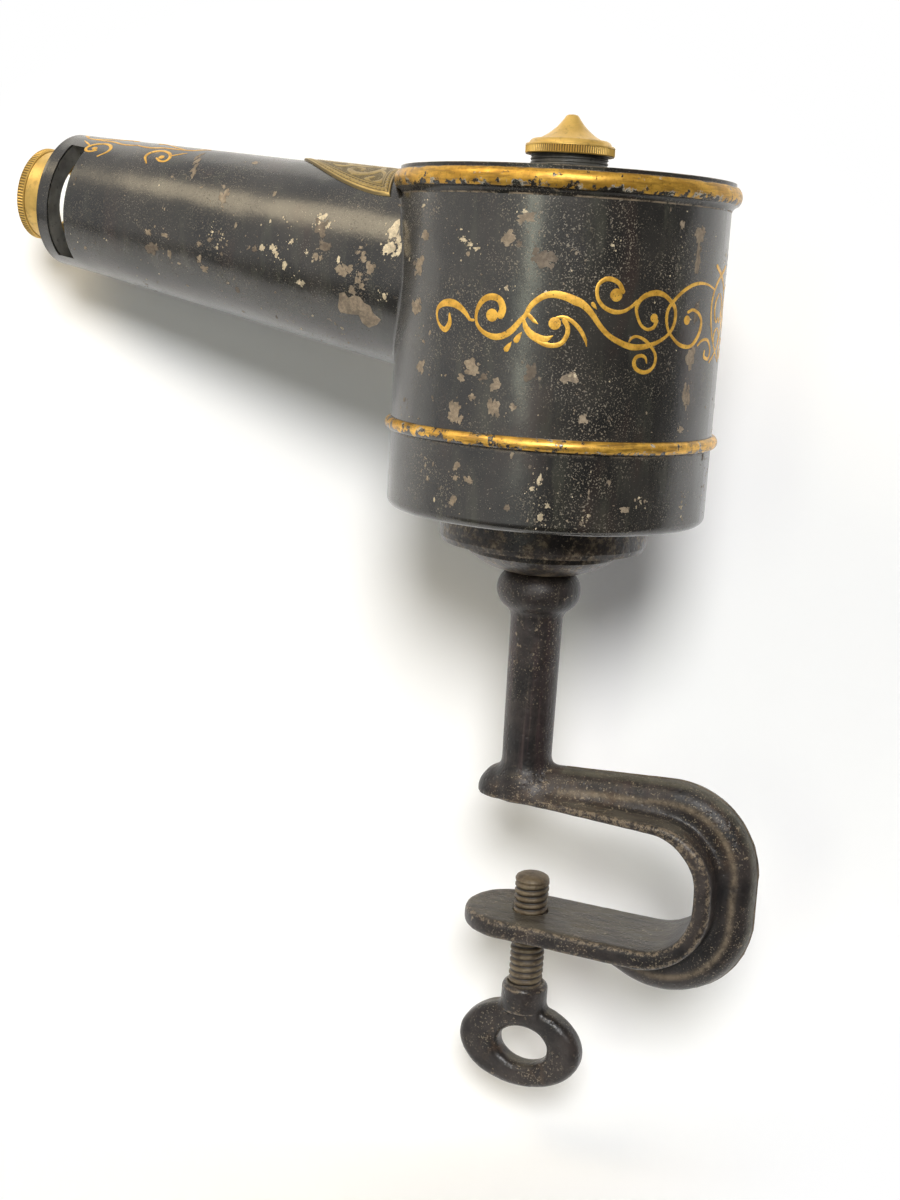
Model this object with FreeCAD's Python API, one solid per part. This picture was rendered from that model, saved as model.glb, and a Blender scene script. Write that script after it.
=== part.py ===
import FreeCAD, Part
import math
import os

# A table-clamp magic lantern: a round tin lamp house with a tapered projection tube, on a cast C-clamp.
# Millimetres. The origin is on the upper jaw's flat underside, on the stem axis. +Z is up.
# The tube and the open side of the clamp both point along -X, and the bow of the clamp along +X.

V = FreeCAD.Vector

# Clamp casting
JAW_GAP = 44.0
THROAT_DEPTH = 71.0
THROAT_R = 19.0
JAW_W = 36.6
STRIP_T = 3.8
BOW_T = 6.5
PLATE_T = 7.4
PLATE_REACH = 19.4
STRIP_EDGE_R = 1.6
NOSE_REACH = 18.0
NOSE_R = 10.9
NOSE_CENTRE_Z = 0.6
RIB_R = 7.5
RIB_WEB_T = 9.0
RIB_RISE = 16.5
RIB_START_RISE = 13.0
RIB_OUT = 19.0
RIB_DROP = 12.0
RIB_BEND_R = 32.0
RIB_END_X = 26.0
HUB_R = 12.4
HUB_SIDE_H = 3.4
HUB_TOP_R = 9.9
HUB_TOP_Z = 11.3
HUB_BULGE = 1.0
FLARE_R = 11.4
FLARE_L = 27.0
FLARE_SINK = 0.2

# Stem, ball collar and swivel spigot, turned on the casting
STEM_R_LOW = 9.2
STEM_R_HIGH = 9.6
STEM_COVE_H = 1.6
STEM_COVE_HOLLOW = 0.3
BALL_R = 15.4
BALL_LOW_Z = 71.2
BEARING_Z = 86.0
BEARING_R = 11.2
SPIGOT_R = 6.0
SPIGOT_FIT = 0.05
WASHER_R = 11.0
WASHER_T = 1.6
NUT_FLATS = 17.0
NUT_H = 5.0
SPIGOT_PROUD = 0.6

# Thumb screw
SCREW_X = 5.8
SCREW_R = 6.5
SCREW_FIT = 0.08
SCREW_TIP_ABOVE_PLATE = 14.5
SCREW_TIP_DOME = 2.0
COLLAR_BELOW_PLATE = 21.6
COLLAR_R = 8.8
COLLAR_H = 11.0
COLLAR_CHAMFER = 1.5
SCREW_SOCKET_DEPTH = 9.0
RING_W = 49.0
RING_H = 34.0
RING_HOLE_W = 20.0
RING_HOLE_H = 15.0
RING_HOLE_SHIFT = 1.4
RING_T = 10.0
RING_EDGE_R = 3.6
RING_BITE = 2.5

# Swivel flange under the drum
SWIVEL_H = 21.5
SWIVEL_FOOT_R = 13.6
DISH_R = 27.0
DISH_Z = 6.7
DISH_BULGE = 1.0
FLANGE_R = 37.4
FLANGE_TAPER = 1.0
FLANGE_BOTTOM_Z = 10.0
FLANGE_SHADOW_GAP = 0.7
FLANGE_SEAT_R = 34.0
RECESS_R = 27.0
RECESS_FLOOR_Z = 13.0
RIVET_COUNT = 3
RIVET_CIRCLE_R = 30.5
RIVET_R = 1.6
RIVET_HEAD_R = 3.2
RIVET_HEAD_H = 1.2

# Drum: base pan below the lower bead, lamp house above it
DRUM_R = 57.0
TIN_T = 0.8
SOLDER_GAP = 0.05
PAN_H = 27.0
PAN_CORNER_R = 3.0
COLLAR_RISE = 12.0
PAN_FIT = 0.3
AIR_HOLE_COUNT = 12
AIR_HOLE_R = 2.5
AIR_HOLE_CIRCLE_R = 47.0
LOW_BEAD_H = 4.6
LOW_BEAD_OUT = 2.2
LID_Z = 115.6
RIM_H = 1.7
RIM_W = 2.6
COVE_Z = 107.8
COVE_HOLLOW = 0.4
BEAD_OUT = 3.2
BEAD_FOOT_OUT = 2.25
BEAD_FOOT_Z = 110.2
BEAD_TOP_OUT = 1.9
BEAD_TOP_Z = 115.9
RIM_STEP = 0.9

# Draught neck and its brass cap
NECK_BORE_R = 12.2
NECK_COLLAR_R = 14.4
NECK_COLLAR_H = 5.0
NECK_R = 13.5
NECK_H = 10.2
CAP_FIT = 0.25
CAP_R = 15.5
CAP_Z = 8.6
CAP_BAND_H = 3.4
CAP_TOP_T = 1.0
CAP_SHOULDER_R = 11.4
CAP_SHOULDER_H = 1.8
CAP_SHOULDER_BULGE = 0.79
CAP_FLARE_HOLLOW = 0.7
CAP_TIP_R = 2.0
CAP_TIP_DOME = 0.7
CAP_RISE = 10.4

# Projection tube, a tapered tin tube tilted up
TUBE_AXIS_Z = 74.6
TUBE_TILT = 7.5
TUBE_R = 34.4
TUBE_TAPER = 0.062
TUBE_END = 205.0
TUBE_BEAD_FIT = 0.15
SLOT_START = 193.0
SLOT_W = 8.0
SLOT_H = 42.0

# Brass saddle plate on top of the tube, beside the drum
SADDLE_T = 0.8
SADDLE_LENGTH = 42.0
SADDLE_SPREAD = 44.0
SADDLE_GAP = 4.4
SADDLE_BULGE = 4.9

# Optics in the tube
CELL_END = 188.0
CELL_L = 12.0
CELL_T = 1.2
CELL_LIP = 1.4
CONDENSER_EDGE_T = 3.0
CONDENSER_BULGE = 6.0
LENS_FIT = 0.1
RETAINER_W = 1.2
RETAINER_T = 1.3
RETAINER_SET = 0.7
GATE_T = 1.0
GATE_APERTURE_R = 17.5
FRONT_T = 1.0
JACKET_R = 17.0
JACKET_T = 1.0
JACKET_L = 12.0
JACKET_RING_R = 19.0
JACKET_RING_W = 2.4
JACKET_RING_ROUND = 0.5
DRAW_FIT = 0.08
DRAW_T = 0.9
DRAW_BACK_GAP = 0.8
DRAW_PROUD = 3.4
DRAW_RIM_R = 17.6
DRAW_RIM_W = 3.2
OBJECTIVE_INSET = 5.0
OBJECTIVE_EDGE_T = 2.0
OBJECTIVE_BULGE = 2.4

# Oil lamp inside the lamp house
FONT_R = 30.0
FONT_H = 24.0
FONT_FOOT_R = 15.0
FONT_FOOT_H = 1.6
FONT_CORNER = 3.0
FONT_SHOULDER = 6.0
BURNER_R = 11.5
BURNER_H = 7.0
WICK_TUBE_R = 6.0
WICK_TUBE_H = 22.0
WICK_W = 8.0
WICK_T = 2.4
WICK_CLEAR = 0.3
WICK_BELOW = 12.0
WICK_PROUD = 2.0
WINDER_X = 9.5
WINDER_Z = 3.5
WINDER_R = 1.2
WINDER_FIT = 0.06
WINDER_LENGTH = 30.0
KNOB_R = 5.5
KNOB_T = 3.0
FILLER_X = -20.0
FILLER_R = 5.0
FILLER_H = 4.0
REFLECTOR_R = 27.0
REFLECTOR_CURVE_R = 70.0
REFLECTOR_T = 0.8
REFLECTOR_WALL_GAP = 20.0
BRACKET_W = 10.0
BRACKET_T = 1.2
BRACKET_FOOT = 10.0

# Places worked out from the sizes above
PLATE_TOP_Z = -JAW_GAP
PLATE_LOW_Z = PLATE_TOP_Z - PLATE_T
THROAT_CENTRE_X = THROAT_DEPTH - THROAT_R
BASE_Z = BEARING_Z + SWIVEL_H
JOINT_Z = BASE_Z + PAN_H
TUBE_ROOT = DRUM_R / 2
REFLECTOR_X = DRUM_R - REFLECTOR_WALL_GAP
TUBE_PLACE = FreeCAD.Placement(
    V(0, 0, BASE_Z + TUBE_AXIS_Z), FreeCAD.Rotation(V(0, 1, 0), TUBE_TILT - 90))
FAR = 400.0


def face_xz(start, *moves):
    """Closed face in the XZ plane. A move is (x, z) for a line, or the middle and end points of an arc."""
    edges = []
    here = V(start[0], 0, start[1])
    for move in moves + (start,):
        if isinstance(move[0], tuple):
            middle, end = (V(p[0], 0, p[1]) for p in move)
            edges.append(Part.Arc(here, middle, end).toShape())
        else:
            end = V(move[0], 0, move[1])
            if end.distanceToPoint(here) > 1e-6:
                edges.append(Part.LineSegment(here, end).toShape())
        here = end
    return Part.Face(Part.Wire(edges))


def turned(start, *moves):
    """Solid of revolution about Z from a profile given as (radius, z) points."""
    return face_xz(start, *moves).revolve(V(0, 0, 0), V(0, 0, 1), 360)


def dome_middle(radius, z_edge, rise):
    """Middle point of a spherical dome's profile, from its edge to its top on the axis."""
    ball_r = (radius * radius + rise * rise) / (2 * rise)
    half = math.asin(radius / ball_r) / 2
    return ball_r * math.sin(half), z_edge + rise - ball_r * (1 - math.cos(half))


def arc_middle(start, end, bulge):
    """Middle point of an arc that stands off its chord by a bulge, on the right going from start to end."""
    run_a = end[0] - start[0]
    run_b = end[1] - start[1]
    off = bulge / math.hypot(run_a, run_b)
    return (start[0] + end[0]) / 2 + off * run_b, (start[1] + end[1]) / 2 - off * run_a


def tube_piece(shape):
    """Set a piece turned about local Z, where z is the distance from the drum axis, on the tube's axis."""
    placed = shape.copy()
    placed.Placement = TUBE_PLACE.multiply(shape.Placement)
    return placed


def prism_y(face, width):
    """Solid of a face in the XZ plane, spread evenly about Y = 0."""
    solid = face.extrude(V(0, width, 0))
    solid.translate(V(0, -width / 2, 0))
    return solid


def plan_prism(wire_edges, z_low, z_high):
    """Solid between two heights from edges drawn in the XY plane."""
    solid = Part.Face(Part.Wire(wire_edges)).extrude(V(0, 0, z_high - z_low))
    solid.translate(V(0, 0, z_low))
    return solid


def disc(radius, z_low, height, x=0.0, y=0.0):
    """Upright cylinder."""
    return Part.makeCylinder(radius, height, V(x, y, z_low))


def bent_strip_face(x_left, x_right, z_low, z_high, low_r, high_r):
    """Rectangle in the XZ plane with its two right-hand corners rounded."""
    low_cut = low_r * (1 - math.sqrt(0.5))
    high_cut = high_r * (1 - math.sqrt(0.5))
    high_mid = (x_right - high_cut, z_high - high_cut)
    low_mid = (x_right - low_cut, z_low + low_cut)
    return face_xz(
        (x_left, z_high), (x_right - high_r, z_high), (high_mid, (x_right, z_high - high_r)),
        (x_right, z_low + low_r), (low_mid, (x_right - low_r, z_low)), (x_left, z_low))


def tangent_point(point, centre, radius, side):
    """Point where the line from an outside point touches a circle, on the upper (+1) or lower (-1) side."""
    away = math.atan2(point[1] - centre[1], point[0] - centre[0])
    spread = math.acos(radius / math.hypot(point[0] - centre[0], point[1] - centre[1]))
    angle = away - side * spread
    return (centre[0] + radius * math.cos(angle), centre[1] + radius * math.sin(angle)), angle


def tube_radius(distance):
    """Outer radius of the projection tube at a distance along its axis from the drum axis."""
    return TUBE_R - TUBE_TAPER * (distance - DRUM_R)


def tube_shell(start, end, outer_gap, inner_gap):
    """Part of the tapered tube's wall between two distances, its faces moved in from the outer skin."""
    r_start = tube_radius(start)
    r_end = tube_radius(end)
    return turned(
        (r_start - inner_gap, start), (r_start - outer_gap, start),
        (r_end - outer_gap, end), (r_end - inner_gap, end))


def lens(radius, edge_start, edge_t, bulge_back, bulge_front):
    """Glass lens about local Z with a straight edge and two domed faces; a bulge of 0 is a flat face."""
    edge_end = edge_start + edge_t
    moves = [(0, edge_start - bulge_back)]
    if bulge_back > 0:
        back_r, back_z = dome_middle(radius, 0, bulge_back)
        moves.append(((back_r, edge_start - back_z), (radius, edge_start)))
    else:
        moves.append((radius, edge_start))
    moves.append((radius, edge_end))
    if bulge_front > 0:
        moves.append((dome_middle(radius, edge_end, bulge_front), (0, edge_end + bulge_front)))
    else:
        moves.append((0, edge_end))
    return turned(*moves)


def rib_path():
    """Centre line of the rounded rib round the back of the clamp, from the stem to under the plate."""
    run_r = RIB_BEND_R - RIB_R
    bend_x = THROAT_DEPTH + RIB_OUT - RIB_BEND_R
    top_centre = (bend_x, RIB_RISE - RIB_BEND_R)
    low_centre = (bend_x, PLATE_LOW_Z - RIB_DROP + RIB_BEND_R)
    start = (0.0, RIB_START_RISE - RIB_R)
    end = (RIB_END_X, PLATE_LOW_Z + RIB_R)
    top_touch, top_angle = tangent_point(start, top_centre, run_r, 1)
    low_touch, low_angle = tangent_point(end, low_centre, run_r, -1)

    def on_circle(centre, angle):
        return (centre[0] + run_r * math.cos(angle), centre[1] + run_r * math.sin(angle))

    points = [start, top_touch, on_circle(top_centre, top_angle / 2), on_circle(top_centre, 0.0),
              on_circle(low_centre, 0.0), on_circle(low_centre, low_angle / 2), low_touch, end]
    p = [V(x, 0, z) for x, z in points]
    return [Part.LineSegment(p[0], p[1]).toShape(), Part.Arc(p[1], p[2], p[3]).toShape(),
            Part.LineSegment(p[3], p[4]).toShape(), Part.Arc(p[4], p[5], p[6]).toShape(),
            Part.LineSegment(p[6], p[7]).toShape()]


def upper_jaw_plan():
    """Upper jaw from above: a rounded nose that widens towards the bow."""
    nose_x = NOSE_R - NOSE_REACH
    half = JAW_W / 2
    left = V(nose_x - NOSE_R, 0, 0)
    corners = [V(nose_x, -NOSE_R, 0), V(THROAT_CENTRE_X, -half, 0), V(FAR, -half, 0),
               V(FAR, half, 0), V(THROAT_CENTRE_X, half, 0), V(nose_x, NOSE_R, 0)]
    edges = [Part.LineSegment(a, b).toShape() for a, b in zip(corners, corners[1:])]
    edges.append(Part.Arc(corners[-1], left, corners[0]).toShape())
    return plan_prism(edges, -JAW_GAP / 2, STRIP_T * 2)


def lower_plate_plan():
    """Lower jaw plate from above: parallel sides and a half-round end."""
    half = JAW_W / 2
    end_x = half - PLATE_REACH
    corners = [V(end_x, -half, 0), V(FAR, -half, 0), V(FAR, half, 0), V(end_x, half, 0)]
    edges = [Part.LineSegment(a, b).toShape() for a, b in zip(corners, corners[1:])]
    edges.append(Part.Arc(corners[-1], V(end_x - half, 0, 0), corners[0]).toShape())
    return plan_prism(edges, PLATE_LOW_Z * 2, -JAW_GAP / 2)


def long_edges(strip):
    """Edges that run along the bent strip: every edge but the short straight ones across or through it."""
    found = []
    for edge in strip.Edges:
        ends = [v.Point for v in edge.Vertexes]
        across = len(ends) == 2 and abs(ends[0].x - ends[1].x) < 1e-6
        if not (across and isinstance(edge.Curve, Part.Line) and abs(ends[0].x) < THROAT_DEPTH):
            found.append(edge)
    return found


def clamp_frame():
    """One casting: C-shaped strip with a rounded rib behind it, hub, stem, ball collar and swivel spigot."""
    throat = prism_y(bent_strip_face(-FAR, THROAT_DEPTH, PLATE_TOP_Z, 0, THROAT_R, THROAT_R), FAR)
    strip = prism_y(
        bent_strip_face(-FAR, THROAT_DEPTH + BOW_T, PLATE_LOW_Z, STRIP_T,
                        THROAT_R + PLATE_T, THROAT_R + STRIP_T), JAW_W)
    strip = strip.cut(throat).common(upper_jaw_plan().fuse(lower_plate_plan())).removeSplitter()
    strip = strip.makeFillet(STRIP_EDGE_R, long_edges(strip))

    path_edges = rib_path()
    path = Part.Wire(path_edges)
    first = path_edges[0]
    run = first.Vertexes[1].Point - first.Vertexes[0].Point
    section = Part.Wire(Part.makeCircle(RIB_R, first.Vertexes[0].Point, run))
    rib = path.makePipeShell([section], True, True)
    closing = Part.LineSegment(path_edges[-1].Vertexes[1].Point, first.Vertexes[0].Point).toShape()
    web = prism_y(Part.Face(Part.Wire(path_edges + [closing])), RIB_WEB_T)

    nose_x = NOSE_R - NOSE_REACH
    nose = Part.makeSphere(NOSE_R, V(nose_x, 0, NOSE_CENTRE_Z))
    shank = Part.makeCylinder(NOSE_R, -nose_x, V(nose_x, 0, NOSE_CENTRE_Z), V(1, 0, 0))
    flare_start = V(0, 0, HUB_TOP_Z - FLARE_R)
    flare_run = first.Vertexes[0].Point + run * (FLARE_L / run.Length) - flare_start
    flare = Part.makeCone(FLARE_R, RIB_R - FLARE_SINK, flare_run.Length, flare_start, flare_run)

    ball_mid_z = (BALL_LOW_Z + BEARING_Z) / 2
    spigot_top = BEARING_Z + RECESS_FLOOR_Z + WASHER_T + NUT_H + SPIGOT_PROUD
    hub_low = (HUB_R, HUB_SIDE_H)
    hub_top = (HUB_TOP_R, HUB_TOP_Z)
    cove_top = (STEM_R_LOW, HUB_TOP_Z + STEM_COVE_H)
    stem = turned(
        (0, 0), (HUB_R, 0), hub_low, (arc_middle(hub_low, hub_top, HUB_BULGE), hub_top),
        (arc_middle(hub_top, cove_top, -STEM_COVE_HOLLOW), cove_top),
        (STEM_R_HIGH, BALL_LOW_Z), ((BALL_R, ball_mid_z), (BEARING_R, BEARING_Z)),
        (SPIGOT_R, BEARING_Z), (SPIGOT_R, spigot_top), (0, spigot_top))
    casting = strip.multiFuse([rib, web, nose, shank, flare, stem]).cut(throat)
    hole = disc(SCREW_R + SCREW_FIT, -FAR, FAR + PLATE_TOP_Z / 2, SCREW_X)
    return casting.cut(hole).removeSplitter()


def pivot_washer():
    floor = BEARING_Z + RECESS_FLOOR_Z
    return disc(WASHER_R, floor, WASHER_T).cut(disc(SPIGOT_R + SPIGOT_FIT, floor, WASHER_T))


def pivot_nut():
    z_low = BEARING_Z + RECESS_FLOOR_Z + WASHER_T
    corner_r = NUT_FLATS / math.sqrt(3)
    corners = [V(corner_r * math.cos(i * math.pi / 3), corner_r * math.sin(i * math.pi / 3), z_low)
               for i in range(7)]
    nut = Part.Face(Part.makePolygon(corners)).extrude(V(0, 0, NUT_H))
    return nut.cut(disc(SPIGOT_R + SPIGOT_FIT, z_low, NUT_H))


def clamp_screw():
    tip_z = PLATE_TOP_Z + SCREW_TIP_ABOVE_PLATE
    low_z = PLATE_LOW_Z - COLLAR_BELOW_PLATE - SCREW_SOCKET_DEPTH
    shoulder_z = tip_z - SCREW_TIP_DOME
    rod = turned(
        (0, low_z), (SCREW_R, low_z), (SCREW_R, shoulder_z),
        (dome_middle(SCREW_R, shoulder_z, SCREW_TIP_DOME), (0, tip_z)))
    rod.translate(V(SCREW_X, 0, 0))
    return rod


def oval_prism(width, height, thickness):
    """Oval in the XZ plane, spread evenly about Y = 0."""
    ellipse = Part.Ellipse(V(0, 0, 0), width / 2, height / 2)
    face = Part.Face(Part.Wire(ellipse.toShape()))
    face.rotate(V(0, 0, 0), V(1, 0, 0), 90)
    return prism_y(face, thickness)


def thumb_ring():
    """Cast oval ring head with a socket collar that holds the screw rod."""
    top_z = PLATE_LOW_Z - COLLAR_BELOW_PLATE
    ring_top = top_z - COLLAR_H + RING_BITE
    hole = oval_prism(RING_HOLE_W, RING_HOLE_H, RING_T * 2)
    hole.translate(V(RING_HOLE_SHIFT, 0, 0))
    ring = oval_prism(RING_W, RING_H, RING_T).cut(hole)
    ring = ring.makeFillet(RING_EDGE_R, [e for e in ring.Edges if len(e.Vertexes) == 1])
    ring.translate(V(SCREW_X, 0, ring_top - RING_H / 2))
    collar = turned((0, top_z - COLLAR_H), (COLLAR_R, top_z - COLLAR_H), (COLLAR_R, top_z - COLLAR_CHAMFER),
                    (COLLAR_R - COLLAR_CHAMFER, top_z), (0, top_z))
    collar.translate(V(SCREW_X, 0, 0))
    socket = disc(SCREW_R + SCREW_FIT, top_z - SCREW_SOCKET_DEPTH, SCREW_SOCKET_DEPTH, SCREW_X)
    return ring.fuse(collar).cut(socket).removeSplitter()


def swivel_flange():
    """Cast flange that turns on the stem's spigot and carries the drum."""
    z = BEARING_Z
    top = BASE_Z
    bore = SPIGOT_R + SPIGOT_FIT
    edge_low_r = FLANGE_R - FLANGE_TAPER
    dish_low = (SWIVEL_FOOT_R, z)
    dish_top = (DISH_R, z + DISH_Z)
    flange = turned(
        (bore, z), dish_low, (arc_middle(dish_low, dish_top, DISH_BULGE), dish_top),
        (DISH_R, z + FLANGE_BOTTOM_Z), (edge_low_r, z + FLANGE_BOTTOM_Z),
        (FLANGE_R, z + FLANGE_BOTTOM_Z + FLANGE_TAPER * 2), (FLANGE_R, top - FLANGE_SHADOW_GAP),
        (FLANGE_SEAT_R, top - FLANGE_SHADOW_GAP), (FLANGE_SEAT_R, top), (RECESS_R, top),
        (RECESS_R, z + RECESS_FLOOR_Z), (bore, z + RECESS_FLOOR_Z))
    for x, y in rivet_places():
        flange = flange.cut(disc(RIVET_R, z, SWIVEL_H, x, y))
    return flange


def rivet_places():
    """Centres of the rivets that hold the pan to the flange."""
    turn = 2 * math.pi / RIVET_COUNT
    return [(RIVET_CIRCLE_R * math.cos(turn * (i + 0.5)), RIVET_CIRCLE_R * math.sin(turn * (i + 0.5)))
            for i in range(RIVET_COUNT)]


def flange_rivet(x, y):
    low_z = BEARING_Z + FLANGE_BOTTOM_Z
    seat_z = BASE_Z + TIN_T
    head = turned(
        (0, seat_z), (RIVET_HEAD_R, seat_z),
        (dome_middle(RIVET_HEAD_R, seat_z, RIVET_HEAD_H), (0, seat_z + RIVET_HEAD_H)))
    head.translate(V(x, y, 0))
    return head.fuse(disc(RIVET_R, low_z, seat_z - low_z, x, y)).removeSplitter()


def base_pan():
    """Pressed tin pan with a rounded lower corner and an inner collar that the lamp house slides over."""
    corner = PAN_CORNER_R * (1 - math.sqrt(0.5))
    inner_corner_r = PAN_CORNER_R - TIN_T
    inner_r = DRUM_R - TIN_T
    inner_corner = inner_corner_r * (1 - math.sqrt(0.5))
    collar_r = inner_r - PAN_FIT
    pan = turned(
        (0, BASE_Z), (DRUM_R - PAN_CORNER_R, BASE_Z),
        ((DRUM_R - corner, BASE_Z + corner), (DRUM_R, BASE_Z + PAN_CORNER_R)),
        (DRUM_R, JOINT_Z), (collar_r, JOINT_Z), (collar_r, JOINT_Z + COLLAR_RISE),
        (collar_r - TIN_T, JOINT_Z + COLLAR_RISE), (collar_r - TIN_T, JOINT_Z - TIN_T),
        (inner_r, JOINT_Z - TIN_T), (inner_r, BASE_Z + PAN_CORNER_R),
        ((inner_r - inner_corner, BASE_Z + TIN_T + inner_corner),
         (DRUM_R - PAN_CORNER_R, BASE_Z + TIN_T)),
        (0, BASE_Z + TIN_T))
    for x, y in rivet_places():
        pan = pan.cut(disc(RIVET_R, BASE_Z, TIN_T, x, y))
    turn = 2 * math.pi / AIR_HOLE_COUNT
    for i in range(AIR_HOLE_COUNT):
        x = AIR_HOLE_CIRCLE_R * math.cos(turn * (i + 0.5))
        y = AIR_HOLE_CIRCLE_R * math.sin(turn * (i + 0.5))
        pan = pan.cut(disc(AIR_HOLE_R, BASE_Z, TIN_T, x, y))
    return pan


def tube_cone(start, end, gap):
    """Solid cone of the projection tube, moved in from the outer skin by a gap, on the tube's axis."""
    return tube_piece(Part.makeCone(tube_radius(start) - gap, tube_radius(end) - gap, end - start,
                                    V(0, 0, start)))


def drum_wall():
    """Lamp-house wall with the rolled bead at its foot and the opening into the tube."""
    inner_r = DRUM_R - TIN_T
    bead_mid = (DRUM_R + LOW_BEAD_OUT, JOINT_Z + LOW_BEAD_H / 2)
    wall = turned(
        (inner_r, JOINT_Z), (DRUM_R, JOINT_Z), (bead_mid, (DRUM_R, JOINT_Z + LOW_BEAD_H)),
        (DRUM_R, BASE_Z + LID_Z - TIN_T), (inner_r, BASE_Z + LID_Z - TIN_T))
    return wall.cut(tube_cone(TUBE_ROOT, TUBE_END, TIN_T))


def drum_lid():
    """Lid with a rolled rim: a hollow cove, the round bead and a plain upper edge."""
    top = BASE_Z + LID_Z
    rim_top = top + RIM_H
    under = top - TIN_T
    cove = (DRUM_R, BASE_Z + COVE_Z)
    foot = (DRUM_R + BEAD_FOOT_OUT, BASE_Z + BEAD_FOOT_Z)
    bead_top = (DRUM_R + BEAD_TOP_OUT, BASE_Z + BEAD_TOP_Z)
    bead_mid = (DRUM_R + BEAD_OUT, (foot[1] + bead_top[1]) / 2)
    edge_r = bead_top[0] - RIM_STEP
    lid = turned(
        (NECK_COLLAR_R, under), (DRUM_R, under), cove, (arc_middle(cove, foot, -COVE_HOLLOW), foot),
        (bead_mid, bead_top), (edge_r, bead_top[1]), (edge_r, rim_top), (edge_r - RIM_W, rim_top),
        (edge_r - RIM_W, top), (NECK_COLLAR_R, top))
    return lid.cut(tube_cone(DRUM_R, TUBE_END, -TUBE_BEAD_FIT - SADDLE_T))


def vent_neck():
    z = BASE_Z + LID_Z
    return turned(
        (NECK_BORE_R, z - TIN_T), (NECK_COLLAR_R, z - TIN_T), (NECK_COLLAR_R, z + NECK_COLLAR_H),
        (NECK_R, z + NECK_COLLAR_H), (NECK_R, z + NECK_H), (NECK_BORE_R, z + NECK_H))


def vent_cap():
    """Turned brass cap with an ogee top rising to a small flat tip."""
    z = BASE_Z + LID_Z + CAP_Z
    band_top = z + CAP_BAND_H
    tip_z = band_top + CAP_RISE
    inner_r = NECK_R + CAP_FIT
    ceiling = BASE_Z + LID_Z + NECK_H + CAP_FIT
    edge = (CAP_R - CAP_TOP_T, band_top)
    shoulder = (CAP_SHOULDER_R, band_top + CAP_SHOULDER_H)
    tip = (CAP_TIP_R, tip_z - CAP_TIP_DOME)
    return turned(
        (0, ceiling), (inner_r, ceiling), (inner_r, z), (CAP_R, z), (CAP_R, band_top), edge,
        (arc_middle(edge, shoulder, CAP_SHOULDER_BULGE), shoulder),
        (arc_middle(shoulder, tip, -CAP_FLARE_HOLLOW), tip),
        (dome_middle(CAP_TIP_R, tip[1], CAP_TIP_DOME), (0, tip_z)))


def projection_tube():
    """Tapered tin tube, cut to a saddle on the drum and slotted across for picture slides."""
    tube = tube_shell(TUBE_ROOT, TUBE_END, 0, TIN_T)
    slot = Part.makeBox(SLOT_H, FAR, SLOT_W, V(-SLOT_H / 2, -FAR / 2, SLOT_START))
    tube = tube_piece(tube.cut(slot))
    return tube.cut(disc(DRUM_R, BASE_Z - FAR, FAR * 2))


def tube_saddle():
    """Thin brass plate bent over the top of the tube, pointed towards the lens."""
    start = DRUM_R + SADDLE_GAP
    end = start + SADDLE_LENGTH
    shell = tube_piece(tube_shell(TUBE_ROOT, end + SADDLE_T, -SADDLE_T - SOLDER_GAP, -SOLDER_GAP))
    half = tube_radius(start) * math.sin(math.radians(SADDLE_SPREAD))
    side_x, side_y = arc_middle((-start, half), (-end, 0), SADDLE_BULGE)
    tip = V(-end, 0, 0)
    corners = [V(-start, -half, 0), V(0, -half, 0), V(0, half, 0), V(-start, half, 0)]
    edges = [Part.LineSegment(a, b).toShape() for a, b in zip(corners, corners[1:])]
    edges.append(Part.Arc(corners[3], V(side_x, side_y, 0), tip).toShape())
    edges.append(Part.Arc(tip, V(side_x, -side_y, 0), corners[0]).toShape())
    outline = plan_prism(edges, BASE_Z + TUBE_AXIS_Z, BASE_Z + FAR)
    return shell.common(outline).cut(disc(start, BASE_Z - FAR, FAR * 2))


def condenser_cell():
    """Tin ring soldered in the tube, with a front lip that the condenser glass rests against."""
    start = CELL_END - CELL_L
    lip = cell_bore(CELL_END) - CELL_LIP
    lip_root = cell_bore(CELL_END) + CELL_T / 2
    shell = tube_shell(start, CELL_END, TIN_T + SOLDER_GAP, TIN_T + CELL_T)
    lip_z = CELL_END - CELL_T
    front = turned((lip, lip_z), (lip_root, lip_z), (lip_root, CELL_END), (lip, CELL_END))
    return tube_piece(shell.fuse(front).removeSplitter())


def cell_bore(distance):
    """Inner radius of the condenser cell at a distance along the tube."""
    return tube_radius(distance) - TIN_T - CELL_T


def condenser_edge():
    """Distance along the tube where the straight edge of the condenser glass starts."""
    return CELL_END - CELL_T - CONDENSER_EDGE_T


def condenser_lens():
    radius = cell_bore(CELL_END) - LENS_FIT
    return tube_piece(lens(radius, condenser_edge(), CONDENSER_EDGE_T, CONDENSER_BULGE, 0))


def retaining_ring(outer, start):
    """Narrow ring that keeps a lens in its seat."""
    inner = outer - RETAINER_W
    end = start + RETAINER_T
    return tube_piece(turned((inner, start), (outer, start), (outer, end), (inner, end)))


def condenser_ring():
    end = condenser_edge() - RETAINER_SET
    return retaining_ring(cell_bore(end) - SOLDER_GAP, end - RETAINER_T)


def slide_gate(start):
    """Disc across the tube beside the slide slot, with a round picture aperture."""
    edge = tube_radius(start + GATE_T) - TIN_T - SOLDER_GAP
    return tube_piece(turned((GATE_APERTURE_R, start), (edge, start), (edge, start + GATE_T),
                             (GATE_APERTURE_R, start + GATE_T)))


def tube_front():
    """Disc that closes the front of the tube round the objective jacket."""
    edge = tube_radius(TUBE_END)
    return tube_piece(turned((JACKET_R, TUBE_END), (edge, TUBE_END), (edge, TUBE_END + FRONT_T),
                             (JACKET_R, TUBE_END + FRONT_T)))


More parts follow.
